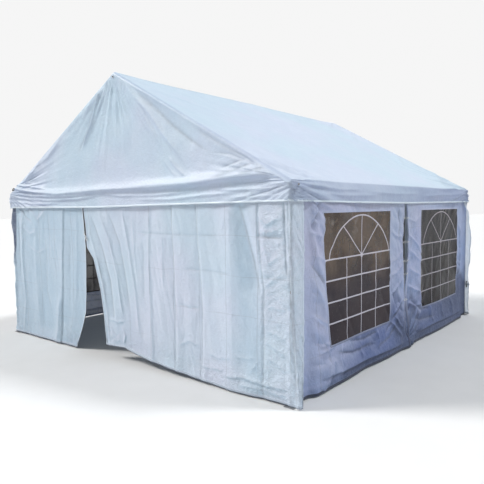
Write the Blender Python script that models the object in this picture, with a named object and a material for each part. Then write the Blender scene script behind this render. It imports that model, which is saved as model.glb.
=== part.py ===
"""A white marquee tent for parties: a steel tube frame under a sheet cover, with sheet walls,
clear windows along both sides and an unzipped doorway at the front.

Units are metres. X runs across the front, Y from the front to the rear, Z up.
The origin is on the ground under the middle of the tent.
"""

import math

import bmesh
import bpy
from mathutils import Matrix, Vector

# Driving sizes
WIDTH = 5.0
DEPTH = 5.0
EAVE_HEIGHT = 2.05
RIDGE_HEIGHT = 3.38
VALANCE_DROP = 0.205

# Sheets, and the gap that touching pieces keep
SHEET = 0.004
FILM = 0.002
GAP = 0.0003
HEM_HEIGHT = 0.015
WALL_TOP = 2.03

# Frame tubes, the connectors that join them and the foot plates
TUBE_RADIUS = 0.019
SLEEVE_RADIUS = 0.0215
HUB_RADIUS = 0.0225
SLEEVE_LENGTH = 0.13
PLATE_SIDE = 0.11
PLATE_THICKNESS = 0.004
TUBE_SIDES = 16

# Windows, measured along Y from the front edge of each half of a side
WINDOW_START = 0.54
WINDOW_WIDTH = 1.49
WINDOW_BOTTOM = 0.43
WINDOW_TOP = 1.755
WALL_PARTING = 0.04

# The doorway between the two front walls, as (x, z) points from the top down
DOOR_SEAM_X = -0.70
DOOR_SEAM_FOOT = 1.66
DOOR_LEFT_EDGE = [(-0.65, 1.33), (-0.65, 1.19), (-0.67, 0.77), (-0.70, 0.46), (-0.92, HEM_HEIGHT)]
DOOR_RIGHT_EDGE = [(-0.64, 1.33), (-0.50, 1.20), (-0.43, 1.00), (-0.31, 0.48), (-0.27, 0.15)]
LIFTED_HEM = [(0.0, 0.165), (0.52, 0.095), (1.17, 0.045), (1.74, HEM_HEIGHT)]

# Sizes worked out from the driving ones
HALF_WIDTH = WIDTH / 2
HALF_DEPTH = DEPTH / 2
SLOPE = math.atan2(RIDGE_HEIGHT - EAVE_HEIGHT, HALF_WIDTH)
WALL_X = HALF_WIDTH - SHEET - GAP
WALL_Y = HALF_DEPTH - SHEET - GAP
FRAME_X = WALL_X - SHEET - GAP - HUB_RADIUS
FRAME_Y = WALL_Y - SHEET - GAP - HUB_RADIUS
FRAME_BELOW_COVER = (SHEET + GAP + HUB_RADIUS) / math.cos(SLOPE)
FRAME_EAVE_Z = EAVE_HEIGHT + (HALF_WIDTH - FRAME_X) * math.tan(SLOPE) - FRAME_BELOW_COVER
FRAME_RIDGE_Z = RIDGE_HEIGHT - FRAME_BELOW_COVER

ROWS = {"front": -FRAME_Y, "middle": 0.0, "rear": FRAME_Y}
SIDES = {"left": -1, "right": 1}

# Colour, roughness and metallic value of each kind of piece
COATED_STEEL = ((0.80, 0.81, 0.82), 0.42, 0.2)
ZINC_STEEL = ((0.55, 0.56, 0.58), 0.38, 0.9)
COVER_SHEET = ((0.82, 0.86, 0.90), 0.50, 0.0)
WALL_SHEET = ((0.78, 0.83, 0.90), 0.55, 0.0)
CLEAR_FILM = ((0.62, 0.62, 0.60), 0.15, 0.0)


def remove_everything():
    """Empty the file of what it starts with."""
    for item in list(bpy.data.objects):
        bpy.data.objects.remove(item, do_unlink=True)


def make_material(name, look):
    """A Principled material of one colour, roughness and metallic value."""
    colour, roughness, metallic = look
    material = bpy.data.materials.new(name)
    material.use_nodes = True
    shader = material.node_tree.nodes["Principled BSDF"]
    shader.inputs["Base Color"].default_value = (*colour, 1.0)
    shader.inputs["Roughness"].default_value = roughness
    shader.inputs["Metallic"].default_value = metallic
    return material


def add_node(name, bm, look):
    """Turn a finished mesh into a named node with a material of its own."""
    bmesh.ops.recalc_face_normals(bm, faces=bm.faces)
    mesh = bpy.data.meshes.new(name)
    bm.to_mesh(mesh)
    bm.free()
    mesh.materials.append(make_material(name, look))
    node = bpy.data.objects.new(name, mesh)
    bpy.context.scene.collection.objects.link(node)
    return node


def place(u, v, along, axis):
    """The point at u and v in a sheet's own plane, and at along on the axis that it faces."""
    if axis == "X":
        return Vector((along, u, v))
    return Vector((u, along, v))


def rectangle(low_u, high_u, low_v, high_v):
    """The four corners of a rectangle, in order."""
    return [(low_u, low_v), (high_u, low_v), (high_u, high_v), (low_u, high_v)]


def add_slab(name, outline, axis, near, far, look):
    """A sheet with an outline of (u, v) points, drawn out from near to far along an axis."""
    bm = bmesh.new()
    first = [bm.verts.new(place(u, v, near, axis)) for u, v in outline]
    second = [bm.verts.new(place(u, v, far, axis)) for u, v in outline]
    bm.faces.new(first)
    bm.faces.new(second)
    for i in range(len(outline)):
        j = (i + 1) % len(outline)
        bm.faces.new((first[i], first[j], second[j], second[i]))
    return add_node(name, bm, look)


def add_holed_wall(name, outer, hole, near, far, look):
    """A wall that faces along X, with one four-sided window cut through it."""
    bm = bmesh.new()
    edges = {}
    rims = {}
    for along in (near, far):
        edges[along] = [bm.verts.new(place(u, v, along, "X")) for u, v in outer]
        rims[along] = [bm.verts.new(place(u, v, along, "X")) for u, v in hole]
    for i in range(4):
        j = (i + 1) % 4
        for along in (near, far):
            bm.faces.new((edges[along][i], edges[along][j], rims[along][j], rims[along][i]))
        for loop in (edges, rims):
            bm.faces.new((loop[near][i], loop[near][j], loop[far][j], loop[far][i]))
    return add_node(name, bm, look)


def round_bar(start, end, radius, turn=0.0):
    """A closed round bar between two points, turned about its own axis by part of one side."""
    start = Vector(start)
    run = Vector(end) - start
    bm = bmesh.new()
    bmesh.ops.create_cone(
        bm, cap_ends=True, segments=TUBE_SIDES, radius1=radius, radius2=radius, depth=run.length
    )
    spin = Matrix.Rotation(turn * math.tau / TUBE_SIDES, 4, "Z")
    lean = Vector((0, 0, 1)).rotation_difference(run).to_matrix().to_4x4()
    bm.transform(Matrix.Translation(start + run / 2) @ lean @ spin)
    return bm


def join_solids(solids):
    """One solid from several that run into each other."""
    helpers = []
    for bm in solids:
        mesh = bpy.data.meshes.new("helper")
        bm.to_mesh(mesh)
        bm.free()
        helper = bpy.data.objects.new("helper", mesh)
        bpy.context.scene.collection.objects.link(helper)
        helpers.append(helper)
    base = helpers[0]
    for other in helpers[1:]:
        union = base.modifiers.new("union", "BOOLEAN")
        union.operation = "UNION"
        union.solver = "EXACT"
        union.object = other
    bpy.context.view_layer.update()
    joined = bmesh.new()
    joined.from_object(base, bpy.context.evaluated_depsgraph_get())
    for helper in helpers:
        bpy.data.objects.remove(helper, do_unlink=True)
    bmesh.ops.remove_doubles(joined, verts=joined.verts, dist=1e-5)
    return joined


def eave_point(side, row):
    """Where the frame's axes meet at an eave."""
    return Vector((SIDES[side] * FRAME_X, ROWS[row], FRAME_EAVE_Z))


def ridge_point(row):
    """Where the frame's axes meet at the ridge."""
    return Vector((0.0, ROWS[row], FRAME_RIDGE_Z))


def add_connector(name, centre, targets):
    """A ball-shaped hub with one sleeve toward each tube that it joins."""
    hub = bmesh.new()
    bmesh.ops.create_uvsphere(hub, u_segments=TUBE_SIDES, v_segments=8, radius=HUB_RADIUS)
    bmesh.ops.translate(hub, verts=hub.verts, vec=centre)
    solids = [hub]
    for count, target in enumerate(targets):
        reach = (target - centre).normalized() * SLEEVE_LENGTH
        solids.append(round_bar(centre, centre + reach, SLEEVE_RADIUS, turn=0.13 + 0.17 * count))
    return add_node(name, join_solids(solids), ZINC_STEEL)


def add_tube(name, start, end):
    """A frame tube between two connectors, butted against their sleeves."""
    inset = (end - start).normalized() * (SLEEVE_LENGTH + GAP)
    return add_node(name, round_bar(start + inset, end - inset, TUBE_RADIUS), COATED_STEEL)


def add_leg(side, row):
    """A leg tube with its foot plate, standing under an eave connector."""
    top = eave_point(side, row) - Vector((0, 0, SLEEVE_LENGTH + GAP))
    foot = Vector((top.x, top.y, PLATE_THICKNESS / 2))
    plate = bmesh.new()
    bmesh.ops.create_cube(plate, size=1.0)
    plate.transform(
        Matrix.Translation(foot) @ Matrix.Diagonal((PLATE_SIDE, PLATE_SIDE, PLATE_THICKNESS, 1.0))
    )
    return add_node(
        "leg_" + row + "_" + side, join_solids([plate, round_bar(foot, top, TUBE_RADIUS)]), COATED_STEEL
    )


def add_frame():
    """The steel frame: legs, eave and ridge tubes, rafters, cross bars and connectors."""
    down = Vector((0, 0, -1))
    rows = list(ROWS)
    for number, row in enumerate(rows):
        next_rows = [rows[k] for k in (number - 1, number + 1) if 0 <= k < len(rows)]
        ridge = ridge_point(row)
        for side in SIDES:
            eave = eave_point(side, row)
            targets = [eave + down] + [eave_point(side, other) for other in next_rows] + [ridge]
            if row != "middle":
                opposite = "left" if side == "right" else "right"
                targets.append(eave_point(opposite, row))
            add_connector("eave_connector_" + row + "_" + side, eave, targets)
            add_leg(side, row)
            add_tube("rafter_" + row + "_" + side, eave, ridge)
        targets = [ridge_point(other) for other in next_rows]
        targets += [eave_point(side, row) for side in SIDES]
        add_connector("ridge_connector_" + row, ridge, targets)
    for half, rear_row in (("front", "middle"), ("middle", "rear")):
        label = "front" if half == "front" else "rear"
        add_tube("ridge_tube_" + label, ridge_point(half), ridge_point(rear_row))
        for side in SIDES:
            add_tube("eave_tube_" + label + "_" + side, eave_point(side, half), eave_point(side, rear_row))
    for row in ("front", "rear"):
        add_tube("cross_bar_" + row, eave_point("left", row), eave_point("right", row))


def add_cover():
    """The cover: two roof slopes with their side valances, and two gables with theirs."""
    drop = EAVE_HEIGHT - VALANCE_DROP
    inner_x = HALF_WIDTH - SHEET
    under = SHEET / math.cos(SLOPE)
    inner_eave = EAVE_HEIGHT + SHEET * math.tan(SLOPE) - under
    for side, sign in SIDES.items():
        profile = [
            (sign * GAP / 2, RIDGE_HEIGHT),
            (sign * HALF_WIDTH, EAVE_HEIGHT),
            (sign * HALF_WIDTH, drop),
            (sign * inner_x, drop),
            (sign * inner_x, inner_eave),
            (sign * GAP / 2, RIDGE_HEIGHT - under),
        ]
        add_slab("roof_slope_" + side, profile, "Y", -WALL_Y, WALL_Y, COVER_SHEET)
    gable = [
        (-HALF_WIDTH, drop),
        (HALF_WIDTH, drop),
        (HALF_WIDTH, EAVE_HEIGHT),
        (0.0, RIDGE_HEIGHT),
        (-HALF_WIDTH, EAVE_HEIGHT),
    ]
    add_slab("gable_front", gable, "Y", -HALF_DEPTH, -HALF_DEPTH + SHEET, COVER_SHEET)
    add_slab("gable_rear", gable, "Y", HALF_DEPTH - SHEET, HALF_DEPTH, COVER_SHEET)


def add_end_walls():
    """The two front walls with the doorway between them, and the closed rear wall."""
    edge_x = WALL_X - SHEET - GAP
    front = -WALL_Y
    left = [(-edge_x, HEM_HEIGHT), (-edge_x, WALL_TOP)]
    left += [(DOOR_SEAM_X - GAP / 2, WALL_TOP), (DOOR_SEAM_X - GAP / 2, DOOR_SEAM_FOOT)] + DOOR_LEFT_EDGE
    add_slab("front_wall_left", left, "Y", front, front + SHEET, WALL_SHEET)
    right = [(edge_x, HEM_HEIGHT), (edge_x, WALL_TOP)]
    right += [(DOOR_SEAM_X + GAP / 2, WALL_TOP), (DOOR_SEAM_X + GAP / 2, DOOR_SEAM_FOOT)]
    right += DOOR_RIGHT_EDGE + LIFTED_HEM
    add_slab("front_wall_right", right, "Y", front, front + SHEET, WALL_SHEET)
    rear = rectangle(-edge_x, edge_x, HEM_HEIGHT, WALL_TOP)
    add_slab("rear_wall", rear, "Y", WALL_Y - SHEET, WALL_Y, WALL_SHEET)


def add_side_walls():
    """Two walls on each side, parted at the middle leg, each with a clear window let into it."""
    spans = {"front": (-WALL_Y, -WALL_PARTING / 2), "rear": (WALL_PARTING / 2, WALL_Y)}
    starts = {"front": -HALF_DEPTH + WINDOW_START, "rear": WINDOW_START - WALL_PARTING}
    film_inset = (SHEET - FILM) / 2
    for side, sign in SIDES.items():
        for half, (low, high) in spans.items():
            outer = rectangle(low, high, HEM_HEIGHT, WALL_TOP)
            start = starts[half]
            hole = rectangle(start, start + WINDOW_WIDTH, WINDOW_BOTTOM, WINDOW_TOP)
            film = rectangle(
                start + GAP, start + WINDOW_WIDTH - GAP, WINDOW_BOTTOM + GAP, WINDOW_TOP - GAP
            )
            outside = sign * WALL_X
            inside = sign * (WALL_X - SHEET)
            add_holed_wall("side_wall_" + half + "_" + side, outer, hole, outside, inside, WALL_SHEET)
            outside = sign * (WALL_X - film_inset)
            inside = sign * (WALL_X - SHEET + film_inset)
            add_slab("window_" + half + "_" + side, film, "X", outside, inside, CLEAR_FILM)


def main():
    remove_everything()
    add_frame()
    add_cover()
    add_end_walls()
    add_side_walls()


main()
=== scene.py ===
"""Dresses the solids of a white party marquee: the cover, walls and windows become creased sheets.

Metres throughout. X runs across the front, Y from the front to the rear, Z up.
"""

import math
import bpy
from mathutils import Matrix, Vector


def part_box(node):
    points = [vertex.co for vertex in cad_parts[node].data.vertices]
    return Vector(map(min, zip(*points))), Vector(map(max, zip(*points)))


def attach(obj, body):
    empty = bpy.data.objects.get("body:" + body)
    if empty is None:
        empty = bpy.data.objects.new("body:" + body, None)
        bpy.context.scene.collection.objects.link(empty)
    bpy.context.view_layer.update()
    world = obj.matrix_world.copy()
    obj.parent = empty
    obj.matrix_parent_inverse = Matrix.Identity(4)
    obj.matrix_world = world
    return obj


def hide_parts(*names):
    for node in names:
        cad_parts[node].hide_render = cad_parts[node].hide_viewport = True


bl_info = {
    "name": "Marquee Tent Dresser",
    "version": (1, 0, 0),
    "blender": (4, 5, 0),
    "location": "3D View > Sidebar > Marquee",
    "description": "Makes the sheets, windows, fittings and stage of a party marquee",
    "category": "Object",
}

import bmesh
import bpy
import numpy as np
from bpy.props import FloatProperty, FloatVectorProperty, PointerProperty
from mathutils import Matrix, Vector

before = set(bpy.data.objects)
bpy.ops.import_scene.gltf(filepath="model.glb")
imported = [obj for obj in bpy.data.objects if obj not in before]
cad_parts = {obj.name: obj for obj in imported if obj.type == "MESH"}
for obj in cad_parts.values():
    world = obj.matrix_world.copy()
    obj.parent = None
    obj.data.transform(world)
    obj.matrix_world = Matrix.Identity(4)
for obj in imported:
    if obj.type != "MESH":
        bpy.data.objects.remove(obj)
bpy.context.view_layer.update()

# Sizes read from the solids
LOW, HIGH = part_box("gable_front")
HALF_WIDTH = HIGH.x
RIDGE = HIGH.z
HEM = LOW.z
WALL_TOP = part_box("front_wall_right")[1].z
SIDE_WALL_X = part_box("side_wall_front_right")[1].x
LEG_LOW, LEG_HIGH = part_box("leg_middle_right")
LEG_X = (LEG_LOW.x + LEG_HIGH.x) / 2
WINDOW_BOXES = {half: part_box("window_" + half + "_right") for half in ("front", "rear")}
RIDGE_AXIS = sum(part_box("ridge_tube_front"), Vector()).z / 2
EAVE_AXIS = sum(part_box("cross_bar_front"), Vector()).z / 2

# Sizes of the sheets' own form
VALANCE_DROP = 0.205
EAVE = HEM + VALANCE_DROP
SLOPE = math.atan2(RIDGE - EAVE, HALF_WIDTH)
COVER_RADIUS = 0.034
COVER_TURN = COVER_RADIUS * math.pi / 2
WALL_RADIUS = 0.029
WALL_TURN = WALL_RADIUS * math.pi / 2
STRIP_WIDTH = 0.155
STRIP_START = 2.42
WALL_END = LEG_X + WALL_TURN + STRIP_WIDTH
SIDE_WALL_ENDS = {"front": (-2.486, -0.021), "rear": (0.021, 2.486)}
FOOT_GAP = 0.013
WINDOW_SEAM = 0.016
PACKING_FOLD = 0.385
MOST_SHIFT = 0.085

# Across and height of a sewn band, as shares of its width and thickness
BAND_PROFILE = [(-0.5, 0.0), (-0.44, 1.0), (0.0, 1.1), (0.44, 1.0), (0.5, 0.0)]

# The sides' walls as (side, its sign in x, half), and the heights of the loops between two walls
BAYS = [("left", -1, "front"), ("left", -1, "rear"), ("right", 1, "front"), ("right", 1, "rear")]
LOOP_HEIGHTS = (1.66, 1.356, 1.116, 0.95, 0.62)
ACROSS = (1, 0, 0)
ALONG = (0, 1, 0)
UP = (0, 0, 1)

# The doorway's two edges, as (height, x) points, and the lifted hem beside it, as (x, height)
DOOR_SEAM_X = -0.70
LEFT_EDGE = [(0.0, -0.92), (0.27, -0.79), (0.49, -0.69), (0.79, -0.662), (1.19, -0.65), (1.33, -0.65),
             (1.58, -0.672), (1.80, -0.70)]
RIGHT_EDGE = [(0.0, -0.26), (0.14, -0.27), (0.48, -0.315), (0.82, -0.376), (1.00, -0.435), (1.20, -0.502),
              (1.27, -0.578), (1.33, -0.636), (1.58, -0.655), (1.80, -0.695)]
RIGHT_HEM = [(-0.70, 0.150), (0.0, 0.165), (0.52, 0.085), (1.17, 0.035), (1.74, 0.012), (2.5, 0.012)]

# Folds as (route, height, spread to the left, spread to the right, faded share of each end, power).
# The power may be left out. Routes on the gables and end walls are in (x, z) points
GABLE_FOLDS = [
    ([(-0.13, 3.33), (-0.30, 3.12), (-0.45, 2.83), (-0.70, 2.50)], 0.020, 0.030, 0.040, 0.25, 1.1),
    ([(-0.20, 3.28), (-0.36, 3.08), (-0.55, 2.74), (-0.80, 2.45)], -0.012, 0.018, 0.034, 0.30, 1.0),
    ([(-0.20, 3.27), (-0.47, 3.06), (-0.66, 2.90)], 0.012, 0.022, 0.030, 0.30, 1.1),
    ([(-0.06, 3.31), (-0.05, 3.18), (-0.01, 3.01), (0.03, 2.90)], 0.006, 0.020, 0.024, 0.30, 1.1),
    ([(-0.42, 3.12), (-0.78, 2.93), (-1.08, 2.76)], 0.010, 0.026, 0.036, 0.35, 1.1),
    ([(-1.05, 2.78), (-1.45, 2.50), (-1.80, 2.36)], 0.010, 0.026, 0.034, 0.35, 1.1),
    ([(-1.55, 2.52), (-1.85, 2.32), (-2.15, 2.22)], 0.009, 0.020, 0.028, 0.35, 1.1),
    ([(-1.75, 2.40), (-2.05, 2.20), (-1.75, 2.14)], 0.010, 0.024, 0.030, 0.35),
    ([(0.20, 3.22), (0.62, 2.85), (0.82, 2.62), (1.01, 2.44), (1.24, 2.20)], 0.014, 0.040, 0.026, 0.30, 1.1),
    ([(0.25, 3.20), (0.74, 2.86), (1.00, 2.66), (1.25, 2.50), (1.62, 2.30)], -0.010, 0.080, 0.040, 0.30, 1.1),
    ([(0.16, 3.26), (0.50, 2.86), (0.72, 2.58), (0.90, 2.36)], 0.009, 0.020, 0.026, 0.35, 1.1),
    ([(0.08, 3.27), (0.34, 2.98), (0.55, 2.72), (0.74, 2.55)], 0.008, 0.022, 0.030, 0.35, 1.1),
    ([(0.90, 2.38), (1.05, 2.23), (1.22, 2.12)], 0.014, 0.022, 0.018, 0.30, 1.1),
    ([(0.80, 2.36), (0.98, 2.19), (1.10, 2.12)], 0.008, 0.018, 0.018, 0.30, 1.1),
    ([(1.55, 2.10), (1.86, 2.17), (2.12, 2.24)], -0.008, 0.022, 0.008, 0.25, 1.0),
    ([(1.62, 2.18), (1.86, 2.24), (2.04, 2.29)], -0.006, 0.020, 0.008, 0.30, 1.0),
    ([(1.92, 2.12), (2.10, 2.16), (2.24, 2.17)], -0.007, 0.014, 0.007, 0.25, 1.0),
    ([(1.25, 2.64), (1.60, 2.46), (1.95, 2.29), (2.20, 2.16)], -0.006, 0.024, 0.010, 0.20, 1.0),
    ([(1.50, 2.36), (1.80, 2.32), (2.05, 2.22)], -0.004, 0.024, 0.010, 0.30, 1.0),
]
LIP_FOLDS = [
    ([(-2.44, 2.11), (-1.80, 2.045), (-1.21, 2.005), (-0.23, 2.035), (0.59, 2.035), (1.26, 2.055),
      (1.85, 2.10), (2.36, 2.12)], 0.044, 0.060, 0.020, 0.06, 1.1),
    ([(0.10, 2.045), (1.26, 2.07), (1.95, 2.125), (2.36, 2.135)], 0.022, 0.045, 0.020, 0.22, 1.1),
    ([(2.22, 2.14), (2.38, 2.09), (2.50, 1.99)], 0.014, 0.022, 0.026, 0.25, 1.1),
    ([(-2.46, 2.17), (-1.94, 2.125), (-1.45, 2.07)], 0.020, 0.016, 0.014, 0.25, 1.1),
    ([(-2.50, 2.13), (-2.05, 2.075), (-1.60, 2.03)], 0.014, 0.012, 0.012, 0.25, 1.1),
    ([(-2.52, 2.055), (-1.84, 1.995), (-1.07, 1.975), (-0.40, 2.00)], 0.020, 0.018, 0.013, 0.25, 1.1),
    ([(-2.52, 1.99), (-1.48, 1.935), (-0.78, 1.945), (-0.25, 1.98)], 0.018, 0.016, 0.012, 0.25, 1.1),
    ([(-2.52, 1.94), (-1.81, 1.895), (-1.10, 1.90)], 0.014, 0.014, 0.012, 0.25, 1.1),
    ([(-2.50, 1.89), (-2.00, 1.865), (-1.50, 1.87)], 0.009, 0.013, 0.012, 0.30, 1.1),
    ([(-0.40, 2.005), (0.10, 1.965), (0.67, 1.955), (1.37, 1.98)], 0.015, 0.015, 0.012, 0.30, 1.1),
    ([(0.20, 1.925), (0.94, 1.905), (1.42, 1.935), (2.04, 1.955)], 0.014, 0.016, 0.014, 0.30, 1.1),
    ([(1.55, 1.985), (2.05, 1.975), (2.42, 1.985)], 0.014, 0.016, 0.013, 0.30, 1.1),
    ([(1.70, 1.905), (2.10, 1.900), (2.44, 1.915)], 0.009, 0.014, 0.013, 0.30, 1.1),
]


class MarqueeSheets(bpy.types.PropertyGroup):
    """Colours and depth of creasing of the marquee's sheets."""

    # The sheets are white: the blue in these colours is painted sky light.
    cover_colour: FloatVectorProperty(
        name="Cover", description="Colour of the roof, gables and valances",
        subtype="COLOR", size=3, min=0.0, max=1.0, default=(0.535, 0.640, 0.760),
    )
    wall_colour: FloatVectorProperty(
        name="Walls", description="Colour of the wall sheets",
        subtype="COLOR", size=3, min=0.0, max=1.0, default=(0.570, 0.655, 0.765),
    )
    # The side walls' colour is the wall cloth's with painted shade: darker and bluer.
    shaded_side_colour: FloatVectorProperty(
        name="Side walls", description="Colour of the side wall sheets",
        subtype="COLOR", size=3, min=0.0, max=1.0, default=(0.415, 0.460, 0.630),
    )
    # This navy colour is for damp near the ground and also for painted shade: at the feet, beside the gaps
    # and on the side valances.
    damp_and_shade_colour: FloatVectorProperty(
        name="Damp", description="Colour of the damp and dirt near the ground",
        subtype="COLOR", size=3, min=0.0, max=1.0, default=(0.072, 0.124, 0.335),
    )
    film_colour: FloatVectorProperty(
        name="Window film", description="Tint of the clear window film",
        subtype="COLOR", size=3, min=0.0, max=1.0, default=(0.115, 0.082, 0.058),
    )
    film_cover: FloatProperty(
        name="Film cover", description="How much of what is behind the film its tint hides",
        subtype="FACTOR", min=0.0, max=1.0, default=0.82,
    )
    bar_colour: FloatVectorProperty(
        name="Window bars", description="Colour of the bars printed on the film",
        subtype="COLOR", size=3, min=0.0, max=1.0, default=(0.52, 0.50, 0.57),
    )
    bar_width: FloatProperty(
        name="Bar width", description="Width of a bar printed on a window",
        unit="LENGTH", min=0.005, max=0.06, default=0.0155,
    )
    creasing: FloatProperty(
        name="Creasing", description="Depth of the folds, as a factor on their listed heights",
        subtype="FACTOR", min=0.0, max=3.0, default=1.5,
    )


class MarqueeStage(bpy.types.PropertyGroup):
    """The camera, lights and floor."""

    camera_place: FloatVectorProperty(
        name="Camera place", description="Where the camera stands",
        subtype="TRANSLATION", unit="LENGTH", size=3, default=(5.149, -6.263, 1.829),
    )
    camera_turn: FloatProperty(
        name="Camera turn", description="Turn to the left of straight ahead",
        subtype="ANGLE", default=math.radians(37.54),
    )
    camera_dip: FloatProperty(
        name="Camera dip", description="Tilt below the horizon",
        subtype="ANGLE", default=math.radians(3.98),
    )
    camera_roll: FloatProperty(
        name="Camera roll", description="Roll about the line of sight",
        subtype="ANGLE", default=math.radians(-0.50),
    )
    camera_lens: FloatProperty(
        name="Lens", description="Focal length on a sensor 36 mm wide",
        unit="CAMERA", min=10.0, default=38.77,
    )
    camera_shift: FloatProperty(
        name="Shift", description="Sideways shift of the lens that the framing needs",
        default=-0.058,
    )
    key_strength: FloatProperty(
        name="Key light", description="Strength of the broad light from the front left",
        min=0.0, default=2.95,
    )
    fill_strength: FloatProperty(
        name="Fill light", description="Strength of the broad light from above the rear right",
        min=0.0, default=1.80,
    )
    top_power: FloatProperty(
        name="Top light", description="Power of the large light overhead",
        unit="POWER", min=0.0, default=110.0,
    )
    sky_strength: FloatProperty(
        name="Surroundings", description="Strength of the even light from all sides",
        min=0.0, default=0.92,
    )
    floor_colour: FloatVectorProperty(
        name="Floor", description="Colour of the plain floor",
        subtype="COLOR", size=3, min=0.0, max=1.0, default=(0.71, 0.71, 0.71),
    )


class Value:
    """A number that a shader works out. Python's own operators combine it with others."""

    def __init__(self, shader, socket):
        self.shader = shader
        self.socket = socket

    def __add__(self, other):
        return self.shader.math("ADD", self, other)

    def __radd__(self, other):
        return self.shader.math("ADD", other, self)

    def __sub__(self, other):
        return self.shader.math("SUBTRACT", self, other)

    def __rsub__(self, other):
        return self.shader.math("SUBTRACT", other, self)

    def __mul__(self, other):
        return self.shader.math("MULTIPLY", self, other)

    def __rmul__(self, other):
        return self.shader.math("MULTIPLY", other, self)

    def __truediv__(self, other):
        return self.shader.math("DIVIDE", self, other)

    def __pow__(self, other):
        return self.shader.math("POWER", self, other)

    def __abs__(self):
        return self.shader.math("ABSOLUTE", self)


class Shader:
    """The nodes of a material, or of the surroundings, made from expressions on their values."""

    def __init__(self, name, surroundings=False):
        self.owner = bpy.data.worlds.new(name) if surroundings else bpy.data.materials.new(name)
        self.owner.use_nodes = True
        self.tree = self.owner.node_tree
        self.surface = self.tree.nodes["Background" if surroundings else "Principled BSDF"]

    def node(self, kind, inputs=None, settings=None, output=0):
        """Add a node: its settings first, then what its sockets hold. Gives one of its outputs."""
        made = self.tree.nodes.new(kind)
        for key, value in (settings or {}).items():
            setattr(made, key, value)
        for key, value in (inputs or {}).items():
            self.feed(made.inputs[key], value)
        return Value(self, made.outputs[output])

    def feed(self, socket, value):
        """Link a worked-out value to a socket, or set the socket to a plain one."""
        if isinstance(value, Value):
            self.tree.links.new(value.socket, socket)
        else:
            socket.default_value = value

    def set(self, **sockets):
        """Feed the surface's sockets, named with underscores for spaces."""
        for name, value in sockets.items():
            self.feed(self.surface.inputs[name.replace("_", " ")], value)

    def math(self, operation, *values):
        return self.node("ShaderNodeMath", dict(enumerate(values)), {"operation": operation})

    def mix(self, amount, first, second):
        """A colour between two others."""
        inputs = {0: amount, 6: first, 7: second}
        return self.node("ShaderNodeMix", inputs, {"data_type": "RGBA"}, output=2)

    def split(self, vector, axis):
        """One number of a vector: 0, 1 or 2."""
        return self.node("ShaderNodeSeparateXYZ", {0: vector}, output=axis)

    def place(self):
        """Where a point lies on the object, in metres."""
        return self.node("ShaderNodeTexCoord", output="Object")

    def flat(self):
        """Where a point lies on the cut sheet, in metres."""
        return self.node("ShaderNodeUVMap", settings={"uv_map": "flat"})

    def mark(self, name):
        """A number stored on the mesh's points."""
        return self.node("ShaderNodeAttribute", settings={"attribute_name": name}, output="Fac")

    def stretch(self, vector, scale):
        return self.node("ShaderNodeVectorMath", {0: vector, 1: scale}, {"operation": "MULTIPLY"})

    def noise(self, vector, scale, detail=3.0, roughness=0.5):
        inputs = {"Vector": vector, "Scale": scale, "Detail": detail, "Roughness": roughness}
        return self.node("ShaderNodeTexNoise", inputs, output=0)

    def rise(self, value, low, high):
        """0 below low, 1 above high and a smooth step between."""
        inputs = {"Value": value, "From Min": low, "From Max": high}
        return self.node("ShaderNodeMapRange", inputs, {"interpolation_type": "SMOOTHSTEP"})

    def bump(self, height):
        """A surface direction from a height in metres."""
        return self.node("ShaderNodeBump", {"Strength": 1.0, "Distance": 1.0, "Height": height})


def rgba(colour, factor=1.0):
    """A colour for a socket, made lighter or darker by a factor."""
    return (*(min(1.0, part * factor) for part in colour), 1.0)


def sheets():
    """The settings of the sheets in the open scene."""
    return bpy.context.scene.marquee_sheets


def window_span(half):
    """A window's low and high y and z."""
    low, high = WINDOW_BOXES[half]
    return low.y, high.y, low.z, high.z


# Numbers over arrays of points


def step(value):
    """A smooth step from 0 to 1 of values cut to that range."""
    value = np.clip(value, 0.0, 1.0)
    return value * value * (3.0 - 2.0 * value)


def hump(value, centre, width):
    """A bell of height 1 about a centre."""
    return np.exp(-(((value - centre) / width) ** 2))


def held(shift, limit):
    """A shift kept softly within a limit either way."""
    return limit * np.tanh(shift / limit)


def noise(seed, p, q, step_p, step_q):
    """Smooth noise from -1 to 1 over two directions, with a random value at each step."""
    cells = 128
    values = np.random.default_rng(seed).uniform(-1.0, 1.0, (cells, cells))
    a = p / step_p + cells / 2
    b = q / step_q + cells / 2
    i = np.floor(a).astype(int)
    j = np.floor(b).astype(int)
    s = step(a - i)
    t = step(b - j)
    i %= cells
    j %= cells
    next_i = (i + 1) % cells
    next_j = (j + 1) % cells
    low = values[i, j] * (1 - s) + values[next_i, j] * s
    high = values[i, next_j] * (1 - s) + values[next_i, next_j] * s
    return low * (1 - t) + high * t


def layers(seed, p, q, *rows):
    """Noise in several layers, each given as (step along p, step along q, height)."""
    return sum(noise(seed + number, p, q, *steps) * height for number, (*steps, height) in enumerate(rows))


def ripple(seed, p, step_p):
    """Smooth noise from -1 to 1 along one direction."""
    return noise(seed, p, 0.0, step_p, 1.0)


def creased(seed, p, q, step_p, step_q):
    """Noise with sharp valleys where a stiff sheet would crease, from 0 to 1."""
    return np.abs(noise(seed, p, q, step_p, step_q)) ** 0.8


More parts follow.
